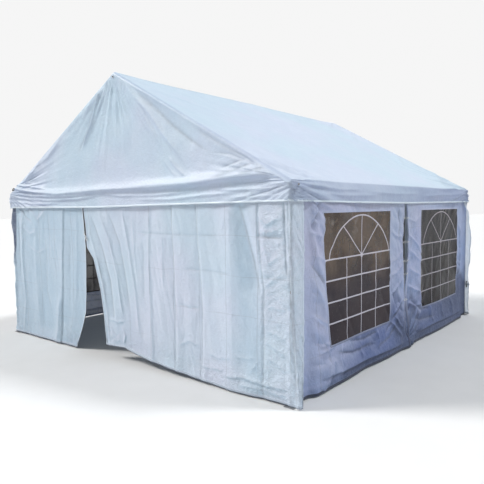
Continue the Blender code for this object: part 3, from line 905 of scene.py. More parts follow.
# On the side walls, in (y, z) points
SIDE_FOLDS = [
    ([(-2.10, 0.16), (-1.67, 0.125), (-1.07, 0.12), (-0.12, 0.09)], 0.035, 0.080, 0.009, 0.08, 1.0),
    ([(0.30, 0.14), (1.00, 0.145), (1.70, 0.13), (2.20, 0.13)], 0.027, 0.070, 0.010, 0.12, 1.0),
    ([(0.62, 0.50), (0.40, 0.36), (0.20, 0.18), (0.10, -0.05)], 0.046, 0.024, 0.110, 0.20, 1.0),
    ([(0.66, 0.49), (0.47, 0.31), (0.30, 0.14), (0.20, -0.05)], -0.026, 0.030, 0.030, 0.15, 1.0),
    ([(-0.46, 0.44), (-0.30, 0.30), (-0.12, 0.15)], 0.027, 0.022, 0.040, 0.25, 1.1),
    ([(-0.30, 0.46), (-0.20, 0.34), (-0.08, 0.26)], 0.019, 0.018, 0.024, 0.25, 1.1),
    ([(-2.25, 1.58), (-2.12, 1.56), (-1.95, 1.51)], 0.014, 0.016, 0.020, 0.30, 1.1),
    ([(-2.25, 1.37), (-2.05, 1.33), (-1.89, 1.26)], 0.014, 0.018, 0.022, 0.30, 1.1),
    ([(-2.00, 1.92), (-2.08, 1.74), (-2.20, 1.56)], -0.028, 0.040, 0.040, 0.20, 1.1),
    ([(-2.20, 1.86), (-2.14, 1.70), (-2.04, 1.62)], 0.016, 0.030, 0.030, 0.25, 1.1),
    ([(-2.16, 1.10), (-2.02, 0.92), (-1.90, 0.66)], 0.019, 0.030, 0.030, 0.30, 1.1),
    ([(-2.20, 0.80), (-2.06, 0.70), (-1.90, 0.62)], 0.014, 0.020, 0.026, 0.30, 1.1),
    ([(-1.90, 0.30), (-1.96, 0.15), (-2.04, 0.02)], 0.041, 0.024, 0.036, 0.15, 1.1),
    ([(-2.08, 0.47), (-1.96, 0.45), (-1.83, 0.47)], 0.014, 0.014, 0.014, 0.25, 1.1),
    ([(-2.12, 0.41), (-2.00, 0.39), (-1.86, 0.42)], 0.012, 0.012, 0.012, 0.25, 1.1),
    ([(-1.62, 0.42), (-1.70, 0.28), (-1.66, 0.16)], 0.015, 0.026, 0.026, 0.30, 1.1),
    ([(-1.20, 0.42), (-1.24, 0.28), (-1.18, 0.14)], 0.014, 0.024, 0.026, 0.30, 1.1),
    ([(-0.82, 0.42), (-0.78, 0.28), (-0.84, 0.14)], 0.014, 0.024, 0.026, 0.30, 1.1),
    ([(-0.46, 1.13), (-0.30, 1.17), (-0.06, 1.27)], 0.015, 0.010, 0.030, 0.25, 1.0),
    ([(-0.46, 0.98), (-0.30, 1.00), (-0.06, 1.10)], 0.016, 0.010, 0.032, 0.25, 1.0),
    ([(-0.46, 0.74), (-0.30, 0.80), (-0.06, 0.93)], 0.015, 0.010, 0.032, 0.25, 1.0),
    ([(-0.46, 1.52), (-0.30, 1.44), (-0.06, 1.42)], 0.014, 0.028, 0.010, 0.25, 1.0),
    ([(-0.40, 0.48), (-0.26, 0.54), (-0.06, 0.66)], 0.012, 0.010, 0.030, 0.25, 1.0),
    ([(-0.20, 1.80), (-0.15, 1.60), (-0.22, 1.40)], -0.014, 0.020, 0.034, 0.25, 1.0),
    ([(0.06, 1.66), (0.26, 1.60), (0.50, 1.70)], 0.015, 0.012, 0.030, 0.25, 1.0),
    ([(0.06, 1.46), (0.26, 1.36), (0.50, 1.20)], 0.019, 0.012, 0.036, 0.25, 1.0),
    ([(0.06, 1.26), (0.26, 1.18), (0.50, 1.06)], 0.016, 0.012, 0.034, 0.25, 1.0),
    ([(0.06, 1.03), (0.26, 0.95), (0.50, 0.88)], 0.016, 0.012, 0.034, 0.25, 1.0),
    ([(0.06, 0.80), (0.26, 0.72), (0.50, 0.66)], 0.015, 0.012, 0.034, 0.25, 1.0),
    ([(0.06, 0.58), (0.26, 0.50), (0.50, 0.50)], 0.014, 0.012, 0.030, 0.25, 1.0),
    ([(0.90, 0.42), (0.86, 0.28), (0.94, 0.15)], 0.016, 0.028, 0.030, 0.30, 1.1),
    ([(1.30, 0.42), (1.26, 0.28), (1.34, 0.15)], 0.014, 0.028, 0.030, 0.30, 1.1),
    ([(1.70, 0.42), (1.74, 0.26), (1.68, 0.14)], 0.016, 0.028, 0.030, 0.30, 1.1),
    ([(2.06, 1.60), (2.14, 1.20), (2.10, 0.70)], 0.016, 0.030, 0.030, 0.25, 1.1),
    ([(-2.20, 1.30), (-2.06, 1.16), (-1.90, 1.02)], -0.016, 0.030, 0.016, 0.25, 1.0),
    ([(-2.14, 0.62), (-2.02, 0.40), (-1.96, 0.20)], -0.006, 0.024, 0.030, 0.25, 1.0),
    ([(-1.50, 0.40), (-1.10, 0.34), (-0.70, 0.38)], -0.009, 0.012, 0.030, 0.30, 1.0),
    ([(-1.90, 0.36), (-1.40, 0.26), (-0.80, 0.25)], -0.010, 0.012, 0.040, 0.30, 1.0),
    ([(-0.60, 0.30), (-0.40, 0.40), (-0.14, 0.56)], -0.014, 0.014, 0.040, 0.25, 1.0),
    ([(-0.90, 0.18), (-0.50, 0.24), (-0.20, 0.40)], -0.010, 0.014, 0.036, 0.25, 1.0),
    ([(0.14, 0.60), (0.44, 0.42), (0.90, 0.36)], -0.014, 0.030, 0.014, 0.25, 1.0),
    ([(0.14, 0.36), (0.50, 0.26), (1.10, 0.24)], -0.012, 0.030, 0.014, 0.25, 1.0),
]

# How much darker the side walls are made near the ground, as (y, share), and how far the rear ones' painted
# shade beside the gap reaches, as (height, y)
DARKENING_ALONG = [(-2.40, 0.24), (-2.05, 0.38), (-1.65, 0.68), (-1.25, 0.94), (-0.85, 1.10), (-0.40, 1.28),
              (0.20, 1.10), (0.80, 1.25), (2.40, 1.30)]
GAP_SHADE_EDGE = [(0.0, 0.030), (0.80, 0.036), (1.0, 0.052)]


# The shape of the cover


def gather_folds(p, q, folds):
    """The height of several folds together, each a tuple of fold's own values."""
    total = np.zeros(np.broadcast(p, q).shape)
    for values in folds:
        total = total + fold(p, q, *values)
    return total * sheets().creasing


def rake_height(x):
    """How high the gable's edge stands over a place across the front."""
    return RIDGE - np.abs(x) * math.tan(SLOPE)


def hanging(z, most=1.2):
    """How far down a valance a height lies, from 0 at the eave to 1 at its hem and a little more."""
    return np.clip((EAVE - z) / VALANCE_DROP, 0.0, most)


def left_corner(p, z, width):
    """Where the valances stand out at the front left corner."""
    return hump(p, -2.5, width) * hump(z, 1.98, 0.09)


def gable_shift(x, z, face):
    """How far the gable and its valance stand out at the front (face -1) or the rear (face 1)."""
    seed, folds, lip = (11, GABLE_FOLDS, LIP_FOLDS) if face < 0 else (57, REAR_GABLE_FOLDS, REAR_LIP_FOLDS)
    below_rake = rake_height(x) - z
    shift = layers(seed, x, z, (0.9, 0.55, 0.008), (0.28, 0.35, 0.0035), (0.13, 0.16, 0.0018))
    shift *= step(below_rake / 0.30)
    shift -= 0.003 * step(below_rake / 0.12) * step((0.75 - below_rake) / 0.55)
    shift += gather_folds(x, z, folds) * step(below_rake / 0.05)
    shift += gather_folds(x, z, lip) * step(below_rake / 0.035)
    shift += fans(x, z, seed + 4, GABLE_FANS) * step(below_rake / 0.10)
    flare = 0.024 + 0.010 * ripple(seed + 3, x, 0.8)
    return held(shift + flare * hanging(z) ** 1.2 + 0.030 * left_corner(x, z, 0.25), MOST_SHIFT)


def rear_corner(x, y):
    """How near a place on the roof is to a rear corner, and how high the creases there stand."""
    aside = np.abs(x)
    near = np.exp(-((aside - 2.4) ** 2 + (y - 2.4) ** 2) / 0.65**2)
    return near, creased(26, y - aside, y + aside, 0.075, 0.40)


def roof_shift(x, y):
    """How far a roof slope lies above its flat form. It rests on the tubes and sags between them."""
    across = np.clip(np.abs(x) / LEG_X, 0.0, 1.0)
    bay = np.abs(np.sin(np.clip(y / LEG_X, -1.0, 1.0) * math.pi))
    sag = -0.026 * bay**0.8 * (np.sin(across * math.pi) ** 0.7 * 0.8 + 0.45 * (1 - across) ** 3)
    shift = sag + noise(21, x, y, 0.9, 1.1) * 0.006 * bay
    shift += noise(22, x, y, 0.35, 0.5) * 0.0025 * (0.3 + bay)
    right = np.where(x > 0, 1.0, 0.0)
    shift += gather_folds(x, y, ROOF_FOLDS) * right
    shift += gather_folds(-x, y, ROOF_FOLDS[1:]) * (1 - right)
    near, creases = rear_corner(x, y)
    corner = fans(np.abs(x), y, 23, ROOF_FANS) + near * creases * 0.011
    return shift + corner * step((LEG_X - np.abs(y)) / 0.08)


def valance_shift(y, z, side):
    """How far a side valance stands out beyond the eave tube."""
    seed = 31 if side > 0 else 41
    hang = hanging(z)
    flare = 0.022 + layers(seed, y, 0.0, (0.9, 1.0, 0.012), (0.25, 1.0, 0.005))
    belly = 0.012 * np.sin(np.clip(hang, 0.0, 1.0) * math.pi) * (1 + noise(seed + 2, y, z, 0.5, 0.1))
    if side < 0:
        belly = belly + 0.055 * left_corner(y, z, 0.20)
    drawn = fans(y, z, seed + 4, VALANCE_FANS)
    return held(flare * hang + belly + drawn + gather_folds(y, z, VALANCE_FOLDS), MOST_SHIFT)


def cover_shift(points, outward):
    """Where the cover's points move to: its sags, folds, flares and uneven hem."""
    x, y, z = points.T
    end = np.clip(np.abs(outward[:, 1]), 0.0, 1.0) ** 1.6
    level = math.sin(SLOPE)
    side = np.clip((np.abs(outward[:, 0]) - level) / (1 - level), 0.0, 1.0) * (1 - end)
    roof = np.clip(1 - end - side, 0.0, 1.0)
    out_end = np.where(y < 0, gable_shift(x, z, -1), gable_shift(x, z, 1))
    out_side = np.where(x > 0, valance_shift(y, z, 1), valance_shift(y, z, -1))
    out_roof = roof_shift(x, y)
    front_hem_rise = follow(x, FRONT_HEM_RISE) * end * (y < 0)
    side_hem_rise = follow(y, SIDE_HEM_RISE) * (1 - end)
    moved = points.copy()
    moved[:, 0] += (side * out_side + roof * out_roof * math.sin(SLOPE)) * np.sign(x)
    moved[:, 1] += end * out_end * np.where(y < 0, -1.0, 1.0)
    moved[:, 2] += roof * out_roof * math.cos(SLOPE)
    moved[:, 2] += (front_hem_rise + side_hem_rise) * hanging(z, 1.1)
    return moved


def cover_section(slope_columns=166, turn_columns=5, hem_columns=16):
    """Across the cover from the left hem to the right hem: the tubes' axes, the outward
    directions, and which columns the gables share."""
    half = [(0.0, RIDGE_AXIS, SLOPE * k / 4, k == 0) for k in range(4)]
    for k in range(slope_columns + 1):
        share = k / slope_columns
        half.append((LEG_X * share, RIDGE_AXIS + (EAVE_AXIS - RIDGE_AXIS) * share, SLOPE, k > 0))
    for k in range(1, turn_columns + 1):
        half.append((LEG_X, EAVE_AXIS, SLOPE + (math.pi / 2 - SLOPE) * k / turn_columns, False))
    for k in range(1, hem_columns + 1):
        half.append((LEG_X, EAVE_AXIS + (HEM - EAVE_AXIS) * k / hem_columns, math.pi / 2, False))
    columns = [(-x, z, -angle, shared) for x, z, angle, shared in reversed(half[1:])] + half
    x, z, angle, shared = (np.array(values) for values in zip(*columns))
    return x, z, np.sin(angle), np.cos(angle), shared.astype(bool)


def cover_grids(turn_rows=7, hem_rows=16):
    """The roof with its side valances, and the two gables, as grids that meet at the tubes.
    Each grid is (points, outward directions, flat places, whether its faces turn over)."""
    x, z, side, up, shared = cover_section()
    arc = np.linspace(math.pi / 2, 0.0, turn_rows)
    along_roof = grid_lines((-LEG_X, 0.050), (1.55, 0.028), LEG_X)[1:-1]
    y = np.concatenate([np.full(turn_rows, -LEG_X), along_roof, np.full(turn_rows, LEG_X)])
    lean = np.concatenate([-arc, np.zeros(len(along_roof)), arc[::-1]])[:, None]
    centre = np.stack(np.broadcast_arrays(x[None, :], y[:, None], z[None, :]), axis=-1)
    outward = [side[None, :] * np.cos(lean), np.sin(lean), up[None, :] * np.cos(lean)]
    outward = np.stack(np.broadcast_arrays(*outward), axis=-1)
    roof = centre + outward * COVER_RADIUS
    along = np.abs(roof[..., 0]) / math.cos(SLOPE) + np.clip(EAVE - roof[..., 2], 0.0, 1.0)
    flat = np.stack([np.sign(roof[..., 0]) * along, roof[..., 1]], axis=-1)
    grids = [(roof, outward, flat, False)]
    top = z[shared]
    for face, rows in ((-1, 66), (1, 36)):
        drop = np.linspace(0.0, 1.0, rows)[:, None] ** 0.72
        upper = top[None, :] + (EAVE_AXIS - top[None, :]) * drop
        lower = np.linspace(EAVE_AXIS, HEM, hem_rows + 1)[1:, None]
        height = np.concatenate([upper, np.broadcast_to(lower, (hem_rows, len(top)))])
        across = np.broadcast_to(x[shared][None, :], height.shape)
        gable = np.stack([across, np.full(height.shape, face * (LEG_X + COVER_RADIUS)), height], axis=-1)
        outward = np.broadcast_to(np.array([0.0, face, 0.0]), gable.shape)
        flat = np.stack([across, height - HEM], axis=-1)
        grids.append((gable, outward, flat, face < 0))
    return grids


def cover_marks(points, outward):
    """The cover's marks at its points before they move: how loose and creased it is, how much darker at its
    hem, and where it has painted shade.
    """
    x, y, z = points.T
    out_x, out_y, up = np.abs(outward.T)
    # Painted shade: the side valances darker and bluer towards the rear, the rounded edge by the right rake
    # darker, and the gable and side valances darker where they lean towards the ground.
    side = step((out_x - 0.55) / 0.4)
    rake = step((out_y - 0.10) / 0.3) * step((0.995 - out_y) / 0.2) * (x > 0) * (1 - side)
    front = step((out_y - 0.9) / 0.1) * (y < 0)
    strength = 0.25 + 0.35 * (z < EAVE + 0.15) * step(-x / 1.5)
    lean = front * leaning(gable_shift, x, z, -1) * strength
    lean += 0.20 * side * leaning(valance_shift, y, z, 1)
    near, creases = rear_corner(x, y)
    # Painted shade in the creases at the rear corners and along the gable's valleys.
    wrinkles = 0.5 * near * (up > 0.5) * step((0.24 - creases) / 0.22)
    end = step((np.abs(y) - LEG_X) / 0.02)
    low = step((EAVE + 0.12 - z) / 0.2)
    # The damp mark darkens the lowest 10 cm of the valances and paints shade on the rear of the side
    # valances.
    return {
        "damp_and_painted_shade": 0.10 * step((HEM + 0.1 - z) / 0.1) + 0.16 * side * step((y - 0.2) / 1.6),
        "loose": np.clip(0.15 + 0.35 * end + 0.5 * low, 0.0, 1.0),
        "shade": np.clip((0.55 + 0.60 * step((y + 1.2) / 3.2)) * side + 0.30 * rake + lean, 0.0, 1.2),
        "crease": np.maximum(crease_lines(x, z, GABLE_FOLDS, 0.020) * front, wrinkles),
    }


def cover_mesh():
    """One welded sheet from the cover's grids."""
    points, outward, flats, corners = [], [], [], []
    start = 0
    for grid, out, flat, turned in cover_grids():
        cells = grid_cells(grid) + start
        points.append(grid.reshape(-1, 3))
        outward.append(out.reshape(-1, 3))
        flats.append(flat.reshape(-1, 2))
        corners.append(cells[:, ::-1] if turned else cells)
        start += len(points[-1])
    points, outward, flats, corners = map(np.concatenate, (points, outward, flats, corners))
    _, first, merged = np.unique((points * 1e5).round(), axis=0, return_index=True, return_inverse=True)
    merged = merged.ravel()
    faces = []
    uses = []
    for cell in corners:
        kept = {}
        for corner in cell:
            kept.setdefault(int(merged[corner]), int(corner))
        if len(kept) > 2:
            faces.append(list(kept))
            uses.extend(kept.values())
    points = points[first]
    outward = outward[first]
    mesh = bpy.data.meshes.new("cover")
    mesh.from_pydata(cover_shift(points, outward), [], faces)
    finish_mesh(mesh, flats[uses], cover_marks(points, outward))
    return mesh


def cover_hem(p, z, lift):
    """A point on the valances at a distance p round the tent from the front left corner."""
    run = 2 * LEG_X
    p = np.mod(p, 4 * (run + COVER_TURN))
    side = np.floor(p / (run + COVER_TURN)).astype(int)
    rest = p - side * (run + COVER_TURN)
    angle = np.clip((rest - run) / COVER_RADIUS, 0.0, math.pi / 2)
    out_x = np.sin(angle)
    out_y = -np.cos(angle)
    local_x = np.minimum(rest, run) - LEG_X + COVER_RADIUS * out_x
    local_y = -LEG_X + COVER_RADIUS * out_y
    cos = np.cos(side * math.pi / 2)
    sin = np.sin(side * math.pi / 2)
    height = np.broadcast_to(z, p.shape).astype(float)
    points = np.stack([local_x * cos - local_y * sin, local_x * sin + local_y * cos, height], axis=-1)
    outward = np.stack([out_x * cos - out_y * sin, out_x * sin + out_y * cos, np.zeros(p.shape)], axis=-1)
    moved = cover_shift(points.reshape(-1, 3), outward.reshape(-1, 3)).reshape(points.shape)
    return np.moveaxis(moved + outward * np.asarray(lift)[..., None], -1, 0)


# The shape of the walls


def below_top(z):
    """0 where a wall is held straight under the valance, and 1 lower down."""
    return step((1.99 - z) / 0.22)


def kicked_foot(seed, x, z, spacing):
    """How far the foot of an end wall stands out."""
    return step((0.20 - z) / 0.2) * (0.012 + 0.012 * ripple(seed, x, spacing))


def wrap(x, face, bend=0.0, turned=math.pi / 2, kept=1.0, radius=WALL_RADIUS):
    """Follow an end wall's run across the tent and then its strip round the corner leg. bend is
    how far past the leg it turns, turned the angle, kept the strip's share of its width and
    radius how round the turn is. Gives x, y and the outward direction for a distance x from
    the middle."""
    sign = np.sign(x)
    past = np.abs(x) - LEG_X - bend
    angle = np.clip(past / radius, 0.0, turned)
    back = np.clip(past - radius * turned, 0.0, None) * kept
    place_x = np.minimum(np.abs(x), LEG_X + bend) + radius * np.sin(angle) + back * np.cos(turned)
    place_y = LEG_X + WALL_RADIUS - radius * (1 - np.cos(angle)) - back * np.sin(turned)
    return sign * place_x, face * place_y, sign * np.sin(angle), face * np.cos(angle)


def door_gather(u, z):
    """How far the cloth beside the doorway is drawn aside."""
    left = follow(z, LEFT_EDGE) - DOOR_SEAM_X
    right = follow(z, RIGHT_EDGE) - DOOR_SEAM_X
    away = np.abs(u - DOOR_SEAM_X)
    return np.where(u > DOOR_SEAM_X, right * (1 - step(away / 1.0)), left * (1 - step(away / 0.6)))


def front_hem(u):
    """How high the front walls' hem hangs above the ground."""
    return np.where(u > DOOR_SEAM_X, follow(u, RIGHT_HEM), 0.012 + 0.004 * ripple(71, u, 0.4))


def front_shift(x, z):
    """How far the front walls stand out from their flat form."""
    shift = layers(101, x, z, (0.42, 2.2, 0.009), (0.19, 1.1, 0.004), (0.10, 0.30, 0.0024))
    shift += gather_folds(x, z, FRONT_FOLDS)
    strip = step((np.abs(x) - STRIP_START) / 0.06)
    shift += strip * (0.005 + noise(104, x, z, 0.060, 0.50) * 0.005)
    shift += strip * creased(105, z + 1.4 * x, x, 0.055, 0.30) * 0.013
    patch = step(noise(110, x, z, 0.45, 0.6) * 1.6 + 0.2)
    shift += patch * creased(111, x + 0.25 * z, z, 0.075, 0.60) * 0.005
    slack = hump(x, -0.95, 0.22) * step((0.34 - z) / 0.2)
    slack += 0.7 * hump(x, -0.15, 0.20) * step((0.45 - z) / 0.2)
    shift += slack * creased(112, x + 0.8 * z, z - 0.5 * x, 0.07, 0.09) * 0.012
    packed = step((x - 2.10) / 0.08)
    shift += packed * noise(108, z + 0.6 * x, x, 0.06, 0.22) * 0.004
    shift += packed * creased(109, z - 0.5 * x, x, 0.08, 0.30) * 0.004
    return held((shift + kicked_foot(107, x, z, 0.22)) * below_top(z), MOST_SHIFT)


def front_surface(u, z, lift=0.0):
    """A point on the front walls at a place u along the cloth. The strip round the right leg
    opens out towards the ground, and the left one bulges."""
    across = u + door_gather(u, z)
    opening = np.clip((1.15 - z) / 1.15, 0.0, 1.0) ** 1.2
    bulge = follow(z, LEFT_BULGE)
    right = across > 0
    bend = np.where(right, 0.095 * opening, 0.0)
    turned = np.where(right, math.pi / 2 - 0.70 * opening, math.pi / 2 - bulge * 13.0)
    kept = np.where(right, 1 - 0.72 * opening, 1 - bulge * 5.0)
    radius = np.where(right, WALL_RADIUS * (1 - 0.72 * step(opening / 0.15)), WALL_RADIUS)
    x, y, out_x, out_y = wrap(across, -1, bend, turned, kept, radius)
    away = front_shift(across, z) + lift
    return x + out_x * away, y + out_y * away, z + 0 * x


def rear_shift(x, z):
    """How far the rear wall stands out from its flat form."""
    shift = layers(201, x, z, (0.45, 2.0, 0.013), (0.17, 1.2, 0.006), (0.10, 0.30, 0.0028))
    shift += gather_folds(x, z, REAR_FOLDS)
    strip = step((np.abs(x) - STRIP_START) / 0.06)
    shift += strip * noise(204, x, z, 0.09, 0.10) * 0.010
    shift += strip * creased(206, z + 0.8 * x, x, 0.07, 0.20) * 0.018
    return held((shift + kicked_foot(205, x, z, 0.25)) * below_top(z), MOST_SHIFT)


def rear_surface(u, z, lift=0.0):
    """A point on the rear wall at a place u along the cloth. Its corner strips bulge."""
    bulge = follow(z, REAR_BULGE) * np.where(u > 0, 1.0, 0.7)
    loose = step(bulge / 0.06)
    x, y, out_x, out_y = wrap(u, 1, 0.0, math.pi / 2 - 1.0 * loose, 1 - loose + loose * bulge / 0.16)
    away = rear_shift(u, z) + lift
    return x + out_x * away, y + out_y * away, z + 0 * x


def side_shift(y, z, side):
    """How far a side's walls stand out from their flat form."""
    seed = 301 if side > 0 else 351
    aside = np.abs(y)
    shift = layers(seed, y, z, (0.55, 1.5, 0.010), (0.22, 0.6, 0.005), (0.11, 0.22, 0.0025))
    shift += gather_folds(y, z, SIDE_FOLDS)
    foot = np.clip((0.42 - z) / 0.42, 0.0, 1.0)
    shift += foot**1.3 * (0.045 + 0.016 * ripple(seed + 3, y, 0.5))
    curl = 0.012 * np.clip((0.34 - z) / 0.34, 0.0, 1.0) ** 1.5 * hump(y, 0.0, 0.20)
    shift += np.where(y > 0.045, curl, 0.090 * hump(y, 0.03, 0.12) * step((0.17 - z) / 0.17))
    shift += streaks(y, z, (-2.30, 1.95), (0.6, -1.0), seed + 4, 0.8, 0.018, 0.12)
    shift += streaks(y, z, (0.0, 0.10), (0.9, 0.6), seed + 5, 0.7, 0.018, 0.10) * (y > 0)
    edge = hump(aside, 0.22, 0.15) + 1.3 * hump(y, -2.11, 0.13) + 0.6 * hump(y, 2.15, 0.20)
    shift += edge * noise(seed + 6, z + 0.6 * y, y, 0.10, 0.5) * 0.006
    shift += edge * creased(seed + 7, z - 0.5 * aside, y, 0.12, 0.6) * 0.019
    patch = step(noise(seed + 8, y, z, 0.5, 0.5) * 1.6 + 0.2)
    calm = 1 - 0.70 * step((0.55 - z) / 0.15)
    shift += calm * patch * creased(seed + 9, z * 0.9 + 0.55 * aside, y, 0.085, 0.45) * 0.014
    shift += calm * (1 - patch) * creased(seed + 10, z * 0.5 - 0.8 * aside, z, 0.10, 0.60) * 0.010
    low_y, high_y, low_z, high_z = window_span("rear")
    pane = step((aside - low_y) / 0.10) * step((high_y - aside) / 0.10)
    pane *= step((z - low_z) / 0.10) * step((high_z - z) / 0.10)
    shift *= 1 - 0.5 * pane
    under_strip = step((aside - 2.13) / 0.12)
    shift = shift * (1 - under_strip) - 0.009 * under_strip
    return held(shift * below_top(z), 0.080)


def side_surface(side):
    """Gives a function for points on one side's walls. p runs along the cloth."""

    def surface(p, z, lift=0.0):
        drawn = 0.125 * step((1.45 - z) / 1.1) * hump(p, -1.93, 0.27)
        drawn = drawn + 0.005 * ripple(361, z, 0.16) * hump(p, -1.96, 0.12)
        drawn = drawn - 0.075 * hump(p, 0.0, 0.22) * np.clip((0.40 - z) / 0.40, 0.0, 1.0) ** 1.3 * (p > 0)
        gap = 0.070 * hump(z, 1.36, 0.38) - 0.017
        drawn = drawn + np.sign(p) * gap * hump(p, 0.0, 0.12)
        drawn = drawn + 0.080 * hump(p, -0.02, 0.08) * step((0.22 - z) / 0.20) * (p < 0)
        y = p + drawn
        away = side_shift(y, z, side) + lift
        return side * (SIDE_WALL_X + away), y, z + 0 * y

    return surface


# Marks of dampness, slack and creases on the walls, and of painted light and shade


def ground_darkening(p, z, seed, reach, amount):
    """Darkening that climbs a wall from the ground, from 0 to 1."""
    edge = reach * (1 + layers(seed, p, z, (0.6, 0.8, 0.35), (0.15, 0.2, 0.15)))
    return amount * step(1 - z / edge)


def front_marks(u, z):
    """A front wall's marks at a place u along the cloth."""
    across = u + door_gather(u, z)
    # Painted shade: the strip round the left corner leg is painted dark as the shade there.
    shaded_sliver = step((-u - follow(z, LEFT_SLIVER_SHADE)) / 0.05) * (0.50 + 0.50 * step((z - 1.05) / 0.15))
    # The cloth between the fold and the doorway is made a little darker.
    flap = 0.16 * step((u + 1.16) / 0.03) * (u < -0.55)
    # The left panel and two bands are made darker and bluer; shade is painted where the cloth leans towards
    # the ground or turns to the right, and it is lighter where it turns to the left.
    shade = step((-0.6 - u) / 0.1) * (0.75 + 0.25 * noise(403, u, z, 0.4, 0.5))
    shade += 0.65 * hump(u + 0.12 * (z - 1.2), 1.96, 0.16) + 0.30 * hump(u, -0.15, 0.35)
    shade += 0.10 + 0.55 * leaning(front_shift, across, z)
    shade -= 0.35 * leaning(lambda z, x: front_shift(x, z), z, across)
    return {
        "damp_and_painted_shade": ground_darkening(u, z, 401, 0.30, 0.16) + shaded_sliver + flap,
        "loose": 0.3 + 0.7 * step((np.abs(u) - 2.05) / 0.15) + 0.5 * step((0.35 - z) / 0.2),
        "shade": np.clip(shade, 0.0, 1.0),
        "crease": crease_lines(across, z, FRONT_FOLDS),
    }


def rear_marks(u, z):
    """The rear wall's marks. Its strips round the corner legs get the shade mark, which paints them lighter
    and makes them glow.
    """
    return {"damp_and_painted_shade": ground_darkening(u, z, 411, 0.40, 0.35), "loose": 0.5, "shade": step((np.abs(u) - LEG_X) / 0.03)}


def side_marks(half, side, y, z):
    """A side wall's marks. Both sides darken towards the ground, with dampness and painted shade, and have
    painted shade at the foot and where the cloth leans down. Only the right side is painted darker towards
    the rear and beside the gap.
    """
    rear = half == "rear"
    right = side > 0
    # How much darker each place along the side is made near the ground.
    darkening = follow(y, DARKENING_ALONG)
    # Painted shadow along the foot.
    foot = step((0.16 - z) / 0.10) * np.minimum(darkening, 1.0)
    # Painted shade where the cloth leans towards the ground.
    lean = leaning(side_shift, y, z, side)
    lean -= lean.mean(axis=1, keepdims=True)
    damp_and_painted_shade = darkening * ground_darkening(y, z, 421 + side, 1.15 + 0.25 * rear, 0.95 if right else 0.50) ** 1.3
    damp_and_painted_shade *= 1 + 0.35 * noise(433, y + 0.5 * z, z, 0.16, 0.60)
    # Painted shade beside the gap.
    damp_and_painted_shade += 0.20 * hump(y, -0.18, 0.22) * step((1.40 - z) / 0.6) * right
    damp_and_painted_shade = damp_and_painted_shade * (1 + 0.35 * lean) + 0.50 * foot
    # Painted shade: darker towards the rear on the right and low down on both sides, in random patches, by
    # the gap, where the cloth leans down and at the foot.
    shade = 0.75 * step((y + 0.5) / 2.6) * right + 0.35 * step((1.5 - z) / 1.2)
    shade += 0.22 * noise(431, y, z, 0.32, 0.28)
    shade += 0.45 * hump(y, 0.05, 0.38) * step((1.85 - z) / 0.6) * right
    shade += 0.36 * lean + 0.8 * foot
    if rear:
        # The rear walls are darker low down. The flap above the ridge is painted lighter as a highlight, and
        # the edge beside the gap is painted dark as shade.
        damp_and_painted_shade = damp_and_painted_shade * 1.4 + 0.18 * step((0.62 - z) / 0.3)
        flap = step((z - 0.96 * y + 0.096) / 0.06) * step((0.52 - z) / 0.08)
        damp_and_painted_shade *= 1 - 0.45 * flap * step((0.55 - y) / 0.1)
        gap_shade = step((follow(z, GAP_SHADE_EDGE) - y) / 0.010) * step((1.84 - z) / 0.06)
        damp_and_painted_shade += 1.1 * gap_shade
        shade += gap_shade
    else:
        # The front half's end by the gap is made lighter.
        damp_and_painted_shade *= 1 - 0.6 * hump(y, 0.0, 0.07)
    return {
        "damp_and_painted_shade": np.clip(damp_and_painted_shade, 0.0, 1.2),
        "loose": 0.45,
        "shade": np.clip(shade, 0.0, 1.0),
        "crease": crease_lines(y, z, SIDE_FOLDS, 0.014),
    }


# Pieces


def band_mesh(bands, surface, lift):
    """Flat bands with a little thickness that lie on a surface. A band is (route of (p, q)
    points, width); surface(p, q, lift) gives points in space."""
    verts = []
    faces = []
    flats = []
    base = 0
    for route, width in bands:
        route = np.array(route, dtype=float)
        count = len(route)
        runs = np.gradient(route, axis=0)
        runs /= np.hypot(runs[:, 0], runs[:, 1])[:, None]
        across = np.stack([-runs[:, 1], runs[:, 0]], axis=1) * width
        along = np.concatenate([[0.0], np.cumsum(np.hypot(*np.diff(route, axis=0).T))])
        for share, rise in BAND_PROFILE:
            flat = route + across * share
            verts.append(np.stack(surface(flat[:, 0], flat[:, 1], np.full(count, rise * lift)), axis=1))
            flats.append(np.stack([along, np.full(count, share * width)], axis=1))
        for band in range(len(BAND_PROFILE) - 1):
            for k in range(base + band * count, base + (band + 1) * count - 1):
                faces.append((k, k + 1, k + count + 1, k + count))
        base += count * len(BAND_PROFILE)
    mesh = bpy.data.meshes.new("bands")
    mesh.from_pydata(np.concatenate(verts), [], faces)
    finish_mesh(mesh, np.concatenate(flats)[np.ravel(faces)])
    return mesh


def straight(start, end, spacing=0.02):
    """Points along a straight line between two (p, q) points."""
    start = np.array(start, dtype=float)
    end = np.array(end, dtype=float)
    count = max(2, round(float(np.hypot(*(end - start))) / spacing) + 1)
    return start + (end - start) * np.linspace(0.0, 1.0, count)[:, None]


def upright(p, low=0.03):
    """Points of a straight line up a wall, to under the valance."""
    return straight((p, low), (p, 1.95))


def add_piece(name, mesh, material, slot, *nodes):
    """Make a piece of the model: it rides on the tent and may stand for nodes. slot is not used."""
    piece = make_object(name, mesh, material)
    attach(piece, "root")
    if nodes:
        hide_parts(*nodes)
    return piece


def wall_grid(surface, p, heights):
    """Points and flat places of a sheet from its places along the cloth and its heights."""
    along, height = np.broadcast_arrays(p[None, :], heights)
    return np.stack(surface(along, height), axis=-1), np.stack([along, height], axis=-1)


def wall_heights(foot, rows):
    """Heights of an end wall's rows from its top down to its foot."""
    return foot + (WALL_TOP - foot) * np.linspace(1.0, 0.0, rows)[:, None]


